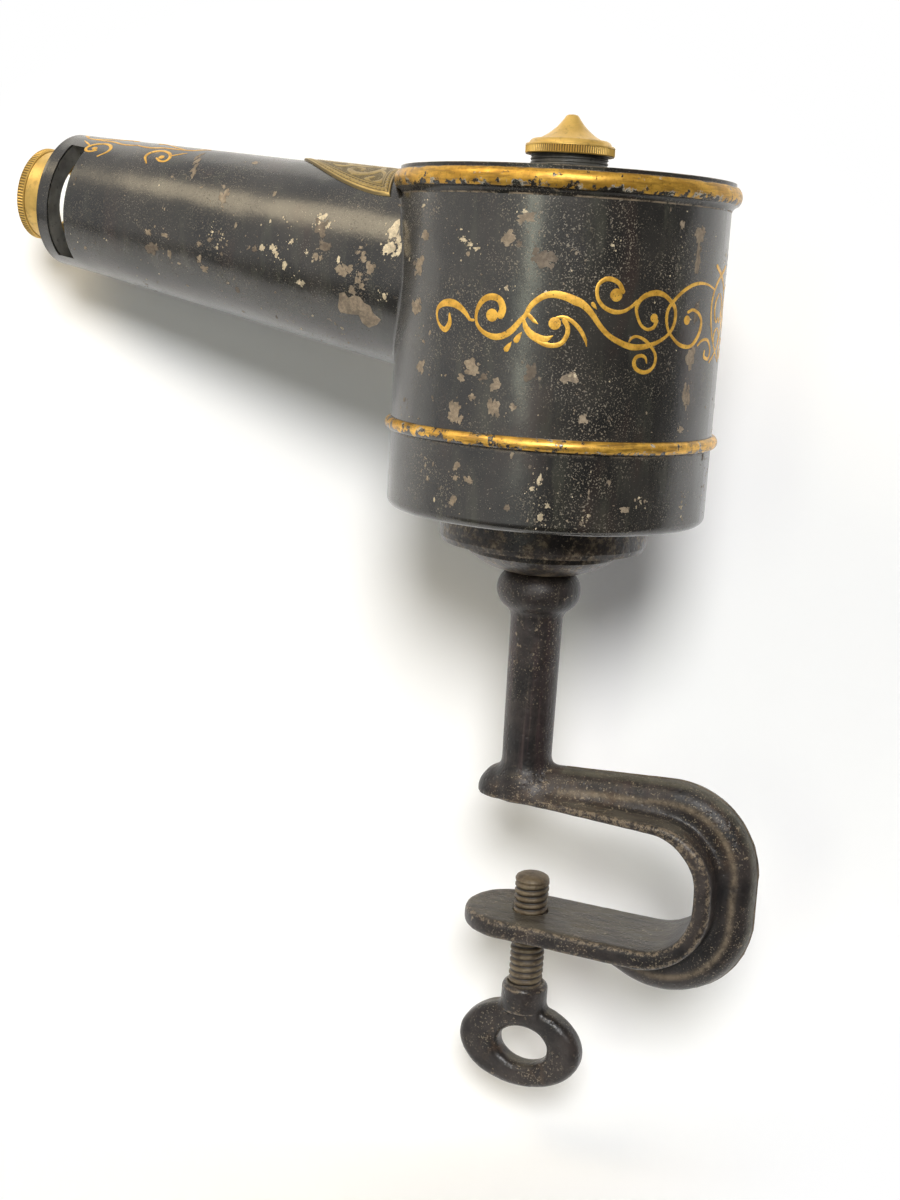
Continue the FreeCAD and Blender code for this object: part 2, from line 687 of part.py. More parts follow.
def objective_jacket():
    """Brass tube fixed in the front disc, with a bead ring against the disc."""
    bore = JACKET_R - JACKET_T
    back = TUBE_END
    front = TUBE_END + FRONT_T + JACKET_L
    ring_z = TUBE_END + FRONT_T
    ring_side = JACKET_RING_R - JACKET_RING_ROUND
    ring_mid = (JACKET_RING_R, ring_z + JACKET_RING_W / 2)
    return tube_piece(turned(
        (bore, back), (JACKET_R, back), (JACKET_R, ring_z), (ring_side, ring_z),
        (ring_mid, (ring_side, ring_z + JACKET_RING_W)), (JACKET_R, ring_z + JACKET_RING_W),
        (JACKET_R, front), (bore, front)))


def draw_span():
    """Back and front distances of the draw tube when it is pushed in."""
    back = SLOT_START + SLOT_W + GATE_T + DRAW_BACK_GAP
    return back, TUBE_END + FRONT_T + JACKET_L + DRAW_PROUD


def focus_tube():
    """Sliding brass tube that carries the objective lens."""
    outer = JACKET_R - JACKET_T - DRAW_FIT
    back, front = draw_span()
    seat = front - OBJECTIVE_INSET
    return tube_piece(turned(
        (outer - DRAW_T, back), (outer, back), (outer, front), (outer - DRAW_T, front),
        (outer - DRAW_T, seat), (outer - DRAW_T * 2, seat), (outer - DRAW_T * 2, seat - DRAW_T),
        (outer - DRAW_T, seat - DRAW_T)))


def focus_rim():
    """Brass grip ring on the front end of the draw tube."""
    inner = JACKET_R - JACKET_T - DRAW_FIT
    _, front = draw_span()
    start = front - DRAW_RIM_W
    return tube_piece(turned((inner, start), (DRAW_RIM_R, start), (DRAW_RIM_R, front), (inner, front)))


def draw_bore():
    return JACKET_R - JACKET_T - DRAW_FIT - DRAW_T


def objective_lens():
    _, front = draw_span()
    return tube_piece(
        lens(draw_bore() - LENS_FIT, front - OBJECTIVE_INSET, OBJECTIVE_EDGE_T, 0, OBJECTIVE_BULGE))


def objective_ring():
    _, front = draw_span()
    lens_edge = front - OBJECTIVE_INSET + OBJECTIVE_EDGE_T
    return retaining_ring(draw_bore() - SOLDER_GAP, lens_edge + RETAINER_SET)


def lamp_floor():
    return BASE_Z + TIN_T


def burner_seat():
    return lamp_floor() + FONT_H


def oil_font():
    """Low round oil reservoir standing in the pan, with a sloped shoulder."""
    floor = lamp_floor()
    z = floor + FONT_FOOT_H
    top = burner_seat()
    font = turned(
        (0, floor), (FONT_FOOT_R, floor), (FONT_FOOT_R, z), (FONT_R - FONT_CORNER, z),
        (FONT_R, z + FONT_CORNER), (FONT_R, top - FONT_SHOULDER), (BURNER_R, top), (WICK_TUBE_R, top),
        (WICK_TUBE_R, z + TIN_T), (0, z + TIN_T))
    return font.cut(disc(FILLER_R, top - FONT_SHOULDER, FONT_H, FILLER_X))


def font_filler():
    """Plug that closes the filler hole of the oil reservoir."""
    z = burner_seat() - FONT_SHOULDER
    return disc(FILLER_R, z, FILLER_H + FONT_SHOULDER, FILLER_X)


def wick_slot(z_low, height):
    width = WICK_W + 2 * WICK_CLEAR
    depth = WICK_T + 2 * WICK_CLEAR
    return Part.makeBox(width, depth, height, V(-width / 2, -depth / 2, z_low))


def burner_collar():
    z = burner_seat()
    collar = disc(BURNER_R, z, BURNER_H).cut(disc(WICK_TUBE_R, z, BURNER_H))
    shaft_start = V(WINDER_X, -BURNER_R * 2, z + WINDER_Z)
    return collar.cut(Part.makeCylinder(WINDER_R + WINDER_FIT, BURNER_R * 4, shaft_start, V(0, 1, 0)))


def wick_tube():
    z = burner_seat()
    return disc(WICK_TUBE_R, z, WICK_TUBE_H).cut(wick_slot(z, WICK_TUBE_H))


def wick():
    z = burner_seat() + WICK_TUBE_H + WICK_PROUD
    length = WICK_TUBE_H + WICK_PROUD + WICK_BELOW
    return Part.makeBox(WICK_W, WICK_T, length, V(-WICK_W / 2, -WICK_T / 2, z - length))


def winder_shaft():
    z = burner_seat() + WINDER_Z
    return Part.makeCylinder(WINDER_R, WINDER_LENGTH, V(WINDER_X, -WINDER_LENGTH, z), V(0, 1, 0))


def winder_knob():
    z = burner_seat() + WINDER_Z
    return Part.makeCylinder(KNOB_R, KNOB_T, V(WINDER_X, -WINDER_LENGTH - KNOB_T, z), V(0, 1, 0))


def reflector():
    """Round concave mirror behind the flame, facing the tube."""
    z = BASE_Z + TUBE_AXIS_Z
    outer = Part.makeSphere(REFLECTOR_CURVE_R + REFLECTOR_T, V(REFLECTOR_X - REFLECTOR_CURVE_R, 0, z))
    inner = Part.makeSphere(REFLECTOR_CURVE_R, V(REFLECTOR_X - REFLECTOR_CURVE_R, 0, z))
    cup = Part.makeCylinder(REFLECTOR_R, REFLECTOR_CURVE_R, V(0, 0, z), V(1, 0, 0))
    return outer.cut(inner).common(cup)


def reflector_bracket():
    """Bent tin strip from the pan's floor up to the back of the mirror."""
    x = REFLECTOR_X + REFLECTOR_T
    low = lamp_floor()
    top = BASE_Z + TUBE_AXIS_Z + BRACKET_W / 2
    post = Part.makeBox(BRACKET_T, BRACKET_W, top - low, V(x, -BRACKET_W / 2, low))
    foot = Part.makeBox(BRACKET_FOOT, BRACKET_W, BRACKET_T, V(x, -BRACKET_W / 2, low))
    return post.fuse(foot).removeSplitter()


def pieces():
    """Every piece of the lantern, by name."""
    makers = [
        clamp_frame, pivot_washer, pivot_nut, clamp_screw, thumb_ring, swivel_flange, base_pan, drum_wall,
        drum_lid, vent_neck, vent_cap, projection_tube, tube_saddle, condenser_cell, condenser_lens,
        condenser_ring, tube_front, objective_jacket, focus_tube, focus_rim, objective_lens, objective_ring,
        oil_font, font_filler, burner_collar, wick_tube, wick, winder_shaft, winder_knob, reflector,
        reflector_bracket,
    ]
    made = {maker.__name__: maker() for maker in makers}
    made["slide_gate_back"] = slide_gate(SLOT_START - GATE_T)
    made["slide_gate_front"] = slide_gate(SLOT_START + SLOT_W)
    for i, (x, y) in enumerate(rivet_places(), start=1):
        made[f"flange_rivet_{i}"] = flange_rivet(x, y)
    return made


os.makedirs("parts", exist_ok=True)
for name, shape in pieces().items():
    shape.exportStep(os.path.join("parts", name + ".step"))
    print(name, len(shape.Solids), shape.isValid(), round(shape.Volume, 1))
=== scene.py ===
import math
import random
from functools import reduce

import bpy
import numpy as np
from mathutils import Matrix, Vector, noise


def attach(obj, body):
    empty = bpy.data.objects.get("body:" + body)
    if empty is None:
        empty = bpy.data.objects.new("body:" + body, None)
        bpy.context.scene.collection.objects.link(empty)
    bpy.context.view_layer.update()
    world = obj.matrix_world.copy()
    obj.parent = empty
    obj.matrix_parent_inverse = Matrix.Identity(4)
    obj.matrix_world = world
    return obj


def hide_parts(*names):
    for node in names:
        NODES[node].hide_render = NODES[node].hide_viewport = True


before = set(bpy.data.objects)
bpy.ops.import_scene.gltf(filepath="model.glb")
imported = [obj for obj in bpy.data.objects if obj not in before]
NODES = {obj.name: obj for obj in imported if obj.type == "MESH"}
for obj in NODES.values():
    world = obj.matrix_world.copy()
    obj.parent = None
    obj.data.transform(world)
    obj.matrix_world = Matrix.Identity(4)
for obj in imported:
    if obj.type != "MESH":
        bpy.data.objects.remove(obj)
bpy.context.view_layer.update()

# Sizes in millimetres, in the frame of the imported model
MM = 0.001
DRUM_R = 57.0
DRUM_Z = 107.5
LOW_BEAD_Z = 134.5
LOW_BEAD_H = 4.6
LID_Z = 223.1
COVE_Z = 215.3
TUBE_Z = 182.1
TUBE_TILT = math.radians(7.5)
TUBE_R = 34.4
TUBE_TAPER = 0.062
TUBE_ALONG = np.array([-math.cos(TUBE_TILT), 0.0, math.sin(TUBE_TILT)])
TUBE_UP = np.array([math.sin(TUBE_TILT), 0.0, math.cos(TUBE_TILT)])
TUBE_SIDE = np.array([0.0, -1.0, 0.0])
SCROLL_TUBE_R = 28.0
SCREW_X = 5.8


# Materials

class Tree:
    """An emptied node tree with short calls for sums, steps and mixes."""

    def __init__(self, owner):
        owner.use_nodes = True
        self.nodes = owner.node_tree.nodes
        self.links = owner.node_tree.links
        self.nodes.clear()

    def put(self, socket, value):
        if isinstance(value, bpy.types.NodeSocket):
            self.links.new(value, socket)
        elif isinstance(value, tuple) and len(value) == 3 and socket.type == "RGBA":
            socket.default_value = (*value, 1.0)
        else:
            socket.default_value = value

    def new(self, kind, inputs=None, **settings):
        """A shader node of a kind; inputs gives numbers, colours or links by socket."""
        node = self.nodes.new("ShaderNode" + kind)
        for name, value in settings.items():
            setattr(node, name, value)
        for key, value in (inputs or {}).items():
            self.put(node.inputs[key], value)
        return node

    def math(self, operation, a, b=0.0, clamp=False):
        return self.new("Math", {0: a, 1: b}, operation=operation, use_clamp=clamp).outputs[0]

    def times(self, *values):
        return reduce(lambda a, b: self.math("MULTIPLY", a, b), values)

    def either(self, *values):
        return reduce(lambda a, b: self.math("MAXIMUM", a, b), values)

    def inverse(self, value):
        return self.math("SUBTRACT", 1.0, value, clamp=True)

    def mix(self, share, a, b):
        return self.new("Mix", {0: share, 6: a, 7: b}, data_type="RGBA").outputs[2]

    def scaled(self, share, low, high):
        return self.new("MapRange", {0: share, 3: low, 4: high}).outputs[0]

    def step(self, value, low, high):
        """0 below low and 1 above high, smooth between."""
        return self.new("MapRange", {0: value, 1: low, 2: high}, interpolation_type="SMOOTHSTEP").outputs[0]

    def seen_directly(self, *kinds):
        """1 for rays of these kinds, such as Camera, which show the surface itself."""
        path = self.new("LightPath").outputs
        return self.either(*(path[f"Is {kind} Ray"] for kind in kinds))


class Look(Tree):
    """A node material with short calls for the textures that it is made from."""

    def __init__(self, name):
        self.material = bpy.data.materials.new(name)
        super().__init__(self.material)
        self.shader = self.new("BsdfPrincipled")
        self.new("OutputMaterial", {"Surface": self.shader.outputs[0]})
        self.place = self.new("TexCoord").outputs["Object"]
        self.colour = None

    def set(self, **sockets):
        for name, value in sockets.items():
            self.put(self.shader.inputs[name.replace("_", " ")], value)

    def moved(self, x, y, z):
        return self.new("Mapping", {"Vector": self.place, "Location": (x, y, z)}).outputs[0]

    def noise(self, scale, detail=4.0, rough=0.55, at=None):
        return self.new("TexNoise", {"Vector": at or self.place, "Scale": scale, "Detail": detail,
                                     "Roughness": rough}).outputs[0]

    def grain(self, x, y, z, detail, rough):
        """Noise with a scale of its own along each axis."""
        stretched = self.new("Mapping", {"Vector": self.place, "Scale": (x, y, z)}).outputs[0]
        return self.noise(1.0, detail, rough, stretched)

    def spots(self, low, high, *texture):
        """Step of a noise, which makes spots where the noise is high."""
        return self.step(self.noise(*texture), low, high)

    def cells(self, scale):
        return self.new("TexVoronoi", {"Vector": self.place, "Scale": scale}).outputs["Distance"]

    def axis(self, index):
        return self.new("SeparateXYZ", {0: self.place}).outputs[index]

    def between(self, value, low, high, soft):
        """1 between two limits, with a soft edge on both sides."""
        return self.times(self.step(value, low - soft, low + soft),
                          self.inverse(self.step(value, high - soft, high + soft)))

    def radius(self):
        """Distance from the drum's axis."""
        return self.math("SQRT", self.math("ADD", *(self.times(self.axis(k), self.axis(k)) for k in (0, 1))))

    def facing(self, index):
        """Part of the surface's direction along X, Y or Z."""
        return self.new("SeparateXYZ", {0: self.new("TexCoord").outputs["Normal"]}).outputs[index]

    def edges(self, size, low, high):
        """1 on edges of about a size in metres, found from the rounded normal."""
        bevel = self.new("Bevel", {"Radius": size}, samples=6).outputs[0]
        normal = self.new("NewGeometry").outputs["Normal"]
        dot = self.new("VectorMath", {0: bevel, 1: normal}, operation="DOT_PRODUCT").outputs["Value"]
        return self.step(self.inverse(dot), low, high)

    def attribute(self, name):
        return self.new("Attribute", attribute_name=name).outputs["Fac"]

    def coat(self, tint, *shares):
        """Lays a colour over the colour so far, by the product of its shares."""
        self.colour = self.mix(self.times(*shares), self.colour, tint)

    def done(self, *layers, **sockets):
        """Bump layers of (height, depth in metres) and the other sockets; gives the finished material."""
        normal = None
        for height, depth in layers:
            node = self.new("Bump", {"Height": height, "Distance": depth, "Strength": 1.0})
            if normal is not None:
                self.put(node.inputs["Normal"], normal)
            normal = node.outputs[0]
        self.set(Base_Color=self.colour, Normal=normal, **sockets)
        return self.material


GOLD_DARK = (0.23, 0.125, 0.022)
GOLD_MID = (0.58, 0.305, 0.040)
GOLD_LIGHT = (0.86, 0.49, 0.075)
SILVER = (0.50, 0.46, 0.38)
TAN = (0.36, 0.285, 0.200)
CREAM = (0.78, 0.66, 0.46)
BROWN = (0.105, 0.078, 0.054)


def shade(colour, share):
    return tuple(share * c for c in colour)


def gold_colour(look, scale=1.0):
    """Old gold paint: worn dark, ochre and bright, in soft blotches and fine flecks."""
    blotch = look.noise(260 * scale, 5, 0.6)
    fleck = look.noise(1500 * scale, 3, 0.6)
    colour = look.mix(look.step(blotch, 0.36, 0.62), GOLD_MID, GOLD_LIGHT)
    return look.mix(look.step(fleck, 0.58, 0.72), colour, GOLD_DARK)


def japan(name, gold=None, wear=0.55, shift=0.0, rim=None, specks=0.85, specular=0.8, dull_r=None):
    """Black japanned tin with grime, speckles and flaked spots.

    Gold makes the mask of a painted band, with a share that says how far the paint has worn there, and how dull it
    is. Rim is the size in metres of edges that are rubbed bare. Inside the radius dull_r the gloss is gone.
    """
    look = Look(name)
    at = look.moved(shift, shift * 0.7, -shift)
    mottle = look.noise(30, 5, 0.6, at)
    streak = look.grain(150, 150, 26, 4, 0.6)
    look.colour = look.mix(look.step(mottle, 0.34, 0.70), (0.0095, 0.0088, 0.0078), (0.034, 0.0305, 0.0260))
    look.coat((0.060, 0.060, 0.044), look.step(streak, 0.48, 0.78), 0.65)
    ruddy = look.step(look.grain(60, 60, 22, 3, 0.55), 0.56, 0.72)
    look.coat((0.042, 0.026, 0.021), ruddy, 0.55)
    cluster = look.noise(34, 3, 0.6, at)
    thick = look.step(cluster, 0.42, 0.64)
    speckle = look.times(look.spots(0.59, 0.65, 1750, 2, 0.5, at), thick)
    look.coat((0.22, 0.185, 0.135), speckle, specks)
    flake = look.times(look.spots(0.645, 0.665, 330, 5, 0.62, at), look.step(cluster, wear, wear + 0.10))
    flake = look.either(flake, look.times(look.spots(0.665, 0.680, 620, 5, 0.70, at), thick))
    if rim:
        rub = look.times(look.edges(rim, 0.02, 0.12), look.spots(0.40, 0.56, 230, 6, 0.70, at))
        flake = look.either(flake, rub)
    bare = look.mix(look.noise(900, 2), (0.17, 0.125, 0.085), (0.33, 0.26, 0.175))
    look.coat(bare, flake)
    dust = look.spots(0.70, 0.76, 2600, 1, 0.5, at)
    look.coat((0.34, 0.30, 0.23), dust, 0.7)
    rough = look.scaled(look.noise(55, 4, 0.6, at), 0.19, 0.31)
    rough = look.either(rough, look.times(look.either(flake, speckle), 0.62))
    if dull_r:
        rough = look.either(rough, look.times(look.inverse(look.step(look.radius(), dull_r - 0.0006, dull_r)), 0.62))
    dents = look.noise(24, 2, 0.45, at)
    layers = [(dents, 0.0016), (look.noise(520, 3, 0.6, at), 0.000045), (look.inverse(flake), 0.00006)]
    if gold:
        mask, worn, dull = gold(look)
        chips = look.math("ADD", look.noise(300, 7, 0.70, at), worn)
        lost = look.step(chips, 0.60, 0.63)
        silver = look.times(look.between(chips, 0.60, 0.66, 0.006), look.spots(0.50, 0.58, 140, 3, 0.6, at))
        grain = look.grain(130, 130, 900, 4, 0.62)
        paint = look.mix(look.scaled(look.step(grain, 0.42, 0.68), dull, 0.85), gold_colour(look), GOLD_DARK)
        look.coat(SILVER, mask, silver)
        mask = look.times(mask, look.inverse(lost))
        look.coat(paint, mask)
        look.set(Metallic=look.times(mask, 0.55))
        rough = look.math("ADD", look.times(look.inverse(mask), rough), look.times(mask, 0.38))
        layers.append((mask, 0.00005))
    return look.done(*layers, Roughness=rough, Specular_IOR_Level=specular)


def low_band(look):
    """The painted lower bead, and how far it is worn: most on the front's left."""
    low, high = LOW_BEAD_Z * MM, (LOW_BEAD_Z + LOW_BEAD_H) * MM
    inside = look.between(look.axis(2), low + 0.0005, high, 0.00022)
    inside = look.times(inside, look.step(look.radius(), (DRUM_R + 0.10) * MM, (DRUM_R + 0.35) * MM))
    side = look.scaled(look.step(look.axis(0), -0.030, 0.034), 0.075, 0.0)
    under = look.scaled(look.step(look.axis(2), low + 0.0006, low + 0.0026), 0.10, 0.0)
    return inside, look.math("ADD", side, under), 0.0


def top_band(look):
    """The painted bead round the lid: whole at its top and worn away towards its underside."""
    low, high = (COVE_Z + 2.4) * MM, (LID_Z + 0.25) * MM
    wave = look.grain(120, 120, 300, 5, 0.62)
    edge = look.math("ADD", look.axis(2), look.scaled(wave, -0.0011, 0.0011))
    inside = look.between(edge, low, high, 0.00022)
    inside = look.times(inside, look.step(look.radius(), (DRUM_R + 1.55) * MM, (DRUM_R + 1.75) * MM))
    return inside, look.scaled(look.step(look.axis(2), low + 0.0002, low + 0.0030), 0.14, 0.0), 0.32


def gold_paint():
    look = Look("gold_paint")
    look.colour = gold_colour(look, 1.25)
    lost = look.spots(0.64, 0.67, 620, 5, 0.66)
    look.coat((0.035, 0.028, 0.020), lost, 0.8)
    return look.done((look.noise(900, 3), 0.00006),
                     Roughness=look.scaled(look.noise(400, 3), 0.30, 0.50),
                     Metallic=look.times(look.inverse(lost), 0.40))


def flaked(name, light, dark, rough):
    """Bare patch where the paint has come off."""
    look = Look(name)
    share = look.spots(0.36, 0.66, 700, 4, 0.65)
    look.colour = look.mix(share, dark, light)
    grime = look.spots(0.46, 0.64, 210, 5, 0.68)
    look.coat(shade(dark, 0.5), grime, 0.6)
    pits = look.step(look.cells(1500), 0.10, 0.28)
    look.colour = look.mix(pits, shade(dark, 0.55), look.colour)
    return look.done((look.noise(1100, 4, 0.7), 0.00008), Roughness=look.scaled(look.noise(500), rough, rough + 0.2))


def cast_iron(name, tint=1.0, rust=0.5, shine=0.43, rubbed=None, ridge=False, crust=0.0):
    """Cast iron under worn black paint: pitted skin, rubbed edges, rust, dust on top and pale scuffs.

    Rubbed is a share of rubbing, found from the solid's edges where it isn't given. Ridge adds the rib's pale worn
    side, a painted rim light on its back, painted shade in its cove and stem streaks that are partly paint and partly
    painted reflection;
    crust is the share of grainy rust over the whole skin.
    """
    look = Look(name)
    mottle = look.noise(60, 5, 0.65)
    dark, light = shade((0.0085, 0.0072, 0.0074), tint), shade((0.043, 0.0340, 0.0310), tint)
    look.colour = look.mix(look.step(mottle, 0.34, 0.68), dark, light)
    rusty = look.times(look.spots(0.50, 0.70, 42, 5, 0.65), look.spots(0.42, 0.62, 330, 4))
    look.coat((0.095, 0.060, 0.038), rusty, rust)
    if crust:
        grains = look.times(look.spots(0.47, 0.58, 170, 7, 0.76), crust)
        rust_colour = look.mix(look.spots(0.40, 0.62, 640, 4, 0.7), (0.070, 0.048, 0.031), (0.300, 0.235, 0.160))
        look.coat(rust_colour, grains)
        rusty = look.either(rusty, grains)
    grain = look.grain(70, 330, 330, 5, 0.62)
    settled = look.times(look.step(look.facing(2), 0.72, 0.98), look.scaled(look.step(grain, 0.34, 0.66), 0.25, 1.0))
    look.coat((0.120, 0.106, 0.080), settled, 0.75)
    rub = rubbed(look) if rubbed else look.edges(0.0014, 0.012, 0.090)
    rub = look.times(rub, look.spots(0.47, 0.57, 560, 6, 0.78))
    if ridge:
        stem = look.step(look.axis(2), 0.008, 0.014)
        # Pale vertical streaks on the stem: partly streaky paint, partly a painted reflection of light running down
        # the glossy stem.
        line = look.step(look.grain(430, 430, 24, 4, 0.6), 0.54, 0.70)
        look.coat((0.085, 0.070, 0.056), line, stem, 0.6)
        ruddy = look.step(look.grain(210, 210, 16, 3, 0.6), 0.50, 0.68)
        look.coat((0.040, 0.024, 0.026), ruddy, stem, 0.6)
        rise = look.attribute("rise")
        # Painted rim light: the rib's back is made pale grey-green, as if lit from above and behind.
        back = look.times(look.step(rise, 5.2, 7.0), look.scaled(look.step(grain, 0.36, 0.62), 0.35, 0.8))
        look.coat((0.115, 0.108, 0.082), back)
        # Painted shade: the cove under the rib is darkened where shade falls.
        look.coat((0.0085, 0.0078, 0.0080), look.between(rise, -9.0, -2.4, 1.2), 0.6)
        along = look.between(rise, -0.4, 1.2, 1.3)
        rub = look.either(rub, look.times(along, look.spots(0.26, 0.60, 150, 6, 0.74)))
    scuff = look.times(look.spots(0.610, 0.640, 300, 6, 0.72), look.spots(0.46, 0.60, 38, 3, 0.6))
    bare = look.either(look.times(rub, 0.80), look.times(scuff, 0.85))
    pale = look.mix(look.noise(600, 3), (0.130, 0.095, 0.064), (0.330, 0.262, 0.180))
    look.coat(pale, bare)
    dot = look.times(look.spots(0.60, 0.68, 1500, 2, 0.5), look.spots(0.40, 0.60, 45, 3, 0.6))
    look.coat((0.25, 0.205, 0.145), dot, 0.8)
    rough = look.scaled(look.noise(120, 4), shine - 0.08, shine + 0.08)
    rough = look.either(rough, look.times(look.either(bare, rusty, settled), 0.60))
    pit = look.step(look.cells(420), 0.05, 0.34)
    return look.done((look.noise(150, 4, 0.6), 0.0005), (pit, 0.00011), (look.noise(1100, 3), 0.00005),
                     Roughness=rough, Specular_IOR_Level=0.36)


def rubbed_relief(look):
    """Rubbing on the outer edges of a casting, from its stored relief."""
    return look.step(look.attribute("relief"), 0.84, 1.0)


def rusty_screw():
    look = Look("rusty_screw")
    deep = look.attribute("relief")
    look.colour = look.mix(look.spots(0.36, 0.66, 240, 5, 0.65), (0.058, 0.038, 0.021), (0.135, 0.100, 0.058))
    # Painted shade: the thread's grooves are darkened towards their roots.
    look.coat((0.022, 0.016, 0.011), look.inverse(look.step(deep, 0.05, 0.60)))
    crest = look.times(look.step(deep, 0.80, 1.0), look.spots(0.44, 0.60, 500, 4))
    look.coat((0.230, 0.190, 0.125), crest, 0.6)
    return look.done((look.noise(800, 4, 0.7), 0.00012),
                     Roughness=look.scaled(look.noise(300), 0.42, 0.66), Metallic=look.times(crest, 0.6))


def aged_brass(name, light, mid, dark, relief=False, tarnish=0.5, metal=0.85):
    """Old brass, brighter where it is rubbed and brown in the hollows."""
    look = Look(name)
    blotch = look.noise(130, 5, 0.62)
    look.colour = look.mix(look.step(blotch, 0.36, 0.64), mid, light)
    stain = look.times(look.spots(0.54, 0.66, 330, 5, 0.68), tarnish)
    if relief:
        stain = look.either(stain, look.inverse(look.step(look.attribute("relief"), 0.10, 0.62)))
    look.coat(dark, stain)
    rough = look.either(look.scaled(look.noise(210, 4), 0.30, 0.46), look.times(stain, 0.58))
    fine = look.grain(350, 350, 4200, 3, 0.6)
    return look.done((look.noise(600, 3), 0.00006), (fine, 0.00002), Roughness=rough, Metallic=metal)


def dull_tin(name, light, dark, metal=0.75):
    look = Look(name)
    brushed = look.grain(160, 160, 1500, 4, 0.6)
    look.colour = look.mix(look.spots(0.34, 0.68, 90, 5, 0.62), dark, light)
    spot = look.spots(0.60, 0.66, 520, 5, 0.68)
    look.coat(shade(dark, 0.4), spot, 0.7)
    return look.done((look.noise(45, 3), 0.0004), (brushed, 0.00003),
                     Roughness=look.scaled(brushed, 0.30, 0.56), Metallic=metal)


def glass():
    look = Look("clear_glass")
    smear = look.spots(0.50, 0.80, 120, 4, 0.6)
    look.set(Base_Color=look.mix(look.times(smear, 0.25), (0.95, 0.98, 0.97), (0.86, 0.90, 0.86)),
             Roughness=look.scaled(smear, 0.02, 0.09), IOR=1.52, Transmission_Weight=1.0)
    return look.material


def mirror():
    look = Look("silvered_mirror")
    worn = look.spots(0.56, 0.70, 170, 5, 0.68)
    look.colour = look.mix(worn, (0.86, 0.86, 0.84), (0.42, 0.38, 0.31))
    return look.done((look.noise(60, 2), 0.00012), Roughness=look.scaled(worn, 0.07, 0.36), Metallic=1.0)


def cotton():
    look = Look("wick_cotton")
    warp = look.grain(1500, 1500, 320, 2, 0.5)
    weft = look.grain(320, 320, 1700, 2, 0.5)
    weave = look.math("MULTIPLY", warp, weft)
    look.colour = look.mix(look.step(weave, 0.16, 0.36), (0.42, 0.36, 0.26), (0.74, 0.68, 0.55))
    burnt = look.step(look.axis(2), 0.1535, 0.1585)
    look.coat((0.020, 0.016, 0.012), burnt, look.spots(0.30, 0.55, 500, 3))
    return look.done((weave, 0.0003), Roughness=0.9, Sheen_Weight=0.3)


M = {
    "wall": japan("japan_wall", low_band),
    "lid": japan("japan_lid", top_band, shift=0.31, rim=0.0006, specular=0.3, dull_r=0.0556),
    "pan": japan("japan_pan", shift=0.13, wear=0.52, rim=0.0016),
    "tube": japan("japan_tube", shift=0.22, wear=0.53, specks=0.40),
    "gold": gold_paint(),
    "tan": flaked("flaked_tan", TAN, (0.215, 0.165, 0.115), 0.50),
    "cream": flaked("flaked_cream", CREAM, (0.48, 0.39, 0.26), 0.42),
    "brown": flaked("flaked_brown", (0.190, 0.148, 0.105), BROWN, 0.45),
    "casting": cast_iron("cast_frame", rubbed=rubbed_relief, ridge=True),
    "ring": cast_iron("cast_ring", 0.85, 0.45, 0.34, rubbed_relief),
    "flange": cast_iron("cast_flange", 1.0, 0.8, 0.34, crust=0.85),
    "screw": rusty_screw(),
    "brass": aged_brass("cap_brass", (0.70, 0.46, 0.13), (0.56, 0.36, 0.095), (0.26, 0.165, 0.050), metal=0.55),
    "knurl": aged_brass("knurled_brass", (0.70, 0.45, 0.115), (0.58, 0.365, 0.085), (0.170, 0.110, 0.032),
                        True, 0.4, 0.45),
    "saddle": aged_brass("saddle_brass", (0.42, 0.300, 0.105), (0.31, 0.220, 0.078), (0.135, 0.100, 0.042),
                         True, 0.6, 0.45),
    "tin": dull_tin("dull_tin", (0.46, 0.45, 0.41), (0.27, 0.26, 0.235)),
    "neck": dull_tin("neck_tin", (0.125, 0.120, 0.105), (0.040, 0.039, 0.036), 0.5),
    "glass": glass(),
    "mirror": mirror(),
    "cotton": cotton(),
}

NODE_LOOKS = {
    "wall": ["drum_wall"],
    "lid": ["drum_lid"],
    "pan": ["base_pan"],
    "tube": ["projection_tube", "tube_front"],
    "flange": ["swivel_flange", "pivot_washer", "pivot_nut"],
    "tin": ["oil_font", "font_filler", "reflector_bracket", "condenser_cell", "slide_gate_back",
            "slide_gate_front", "flange_rivet_1", "flange_rivet_2", "flange_rivet_3", "winder_shaft"],
    "brass": ["burner_collar", "wick_tube", "objective_jacket", "focus_tube", "condenser_ring",
              "objective_ring"],
    "glass": ["condenser_lens", "objective_lens"],
    "mirror": ["reflector"],
    "cotton": ["wick"],
}
for look_name, node_names in NODE_LOOKS.items():
    for node_name in node_names:
        NODES[node_name].data.materials.clear()
        NODES[node_name].data.materials.append(M[look_name])


# Pieces

def add_object(name, data):
    thing = bpy.data.objects.new(name, data)
    bpy.context.scene.collection.objects.link(thing)
    return thing


class Builder:
    """Collects the points, in millimetres, and the faces of one piece."""

    def __init__(self, points=(), faces=()):
        self.points = list(points)
        self.faces = list(faces)

    def add(self, points):
        start = len(self.points)
        self.points.extend(np.asarray(points, float).reshape(-1, 3).tolist())
        return start

    def rows(self, rows):
        """Joins loops of equally many points by quads."""
        rows = np.asarray(rows, float)
        turns, count = rows.shape[:2]
        start = self.add(rows)
        for i in range(turns - 1):
            for j in range(count):
                a, b = start + i * count + j, start + i * count + (j + 1) % count
                self.faces.append((a, b, b + count, a + count))
        return start, start + (turns - 1) * count, count

    def closed(self, rows, outward=True):
        """Joined loops with a face over the first and the last."""
        start, end, count = self.rows(rows)
        first, last = tuple(range(start, start + count)), tuple(range(end, end + count))
        self.faces += [first, last[::-1]] if outward else [first[::-1], last]
        return self

    def pointed(self, rows, tip):
        """Joined loops with a face under the first and a point over the last."""
        start, last, count = self.rows(rows)
        end = self.add(tip)
        self.faces += [(last + j, last + (j + 1) % count, end) for j in range(count)]
        self.faces.append(tuple(range(start, start + count))[::-1])
        return self


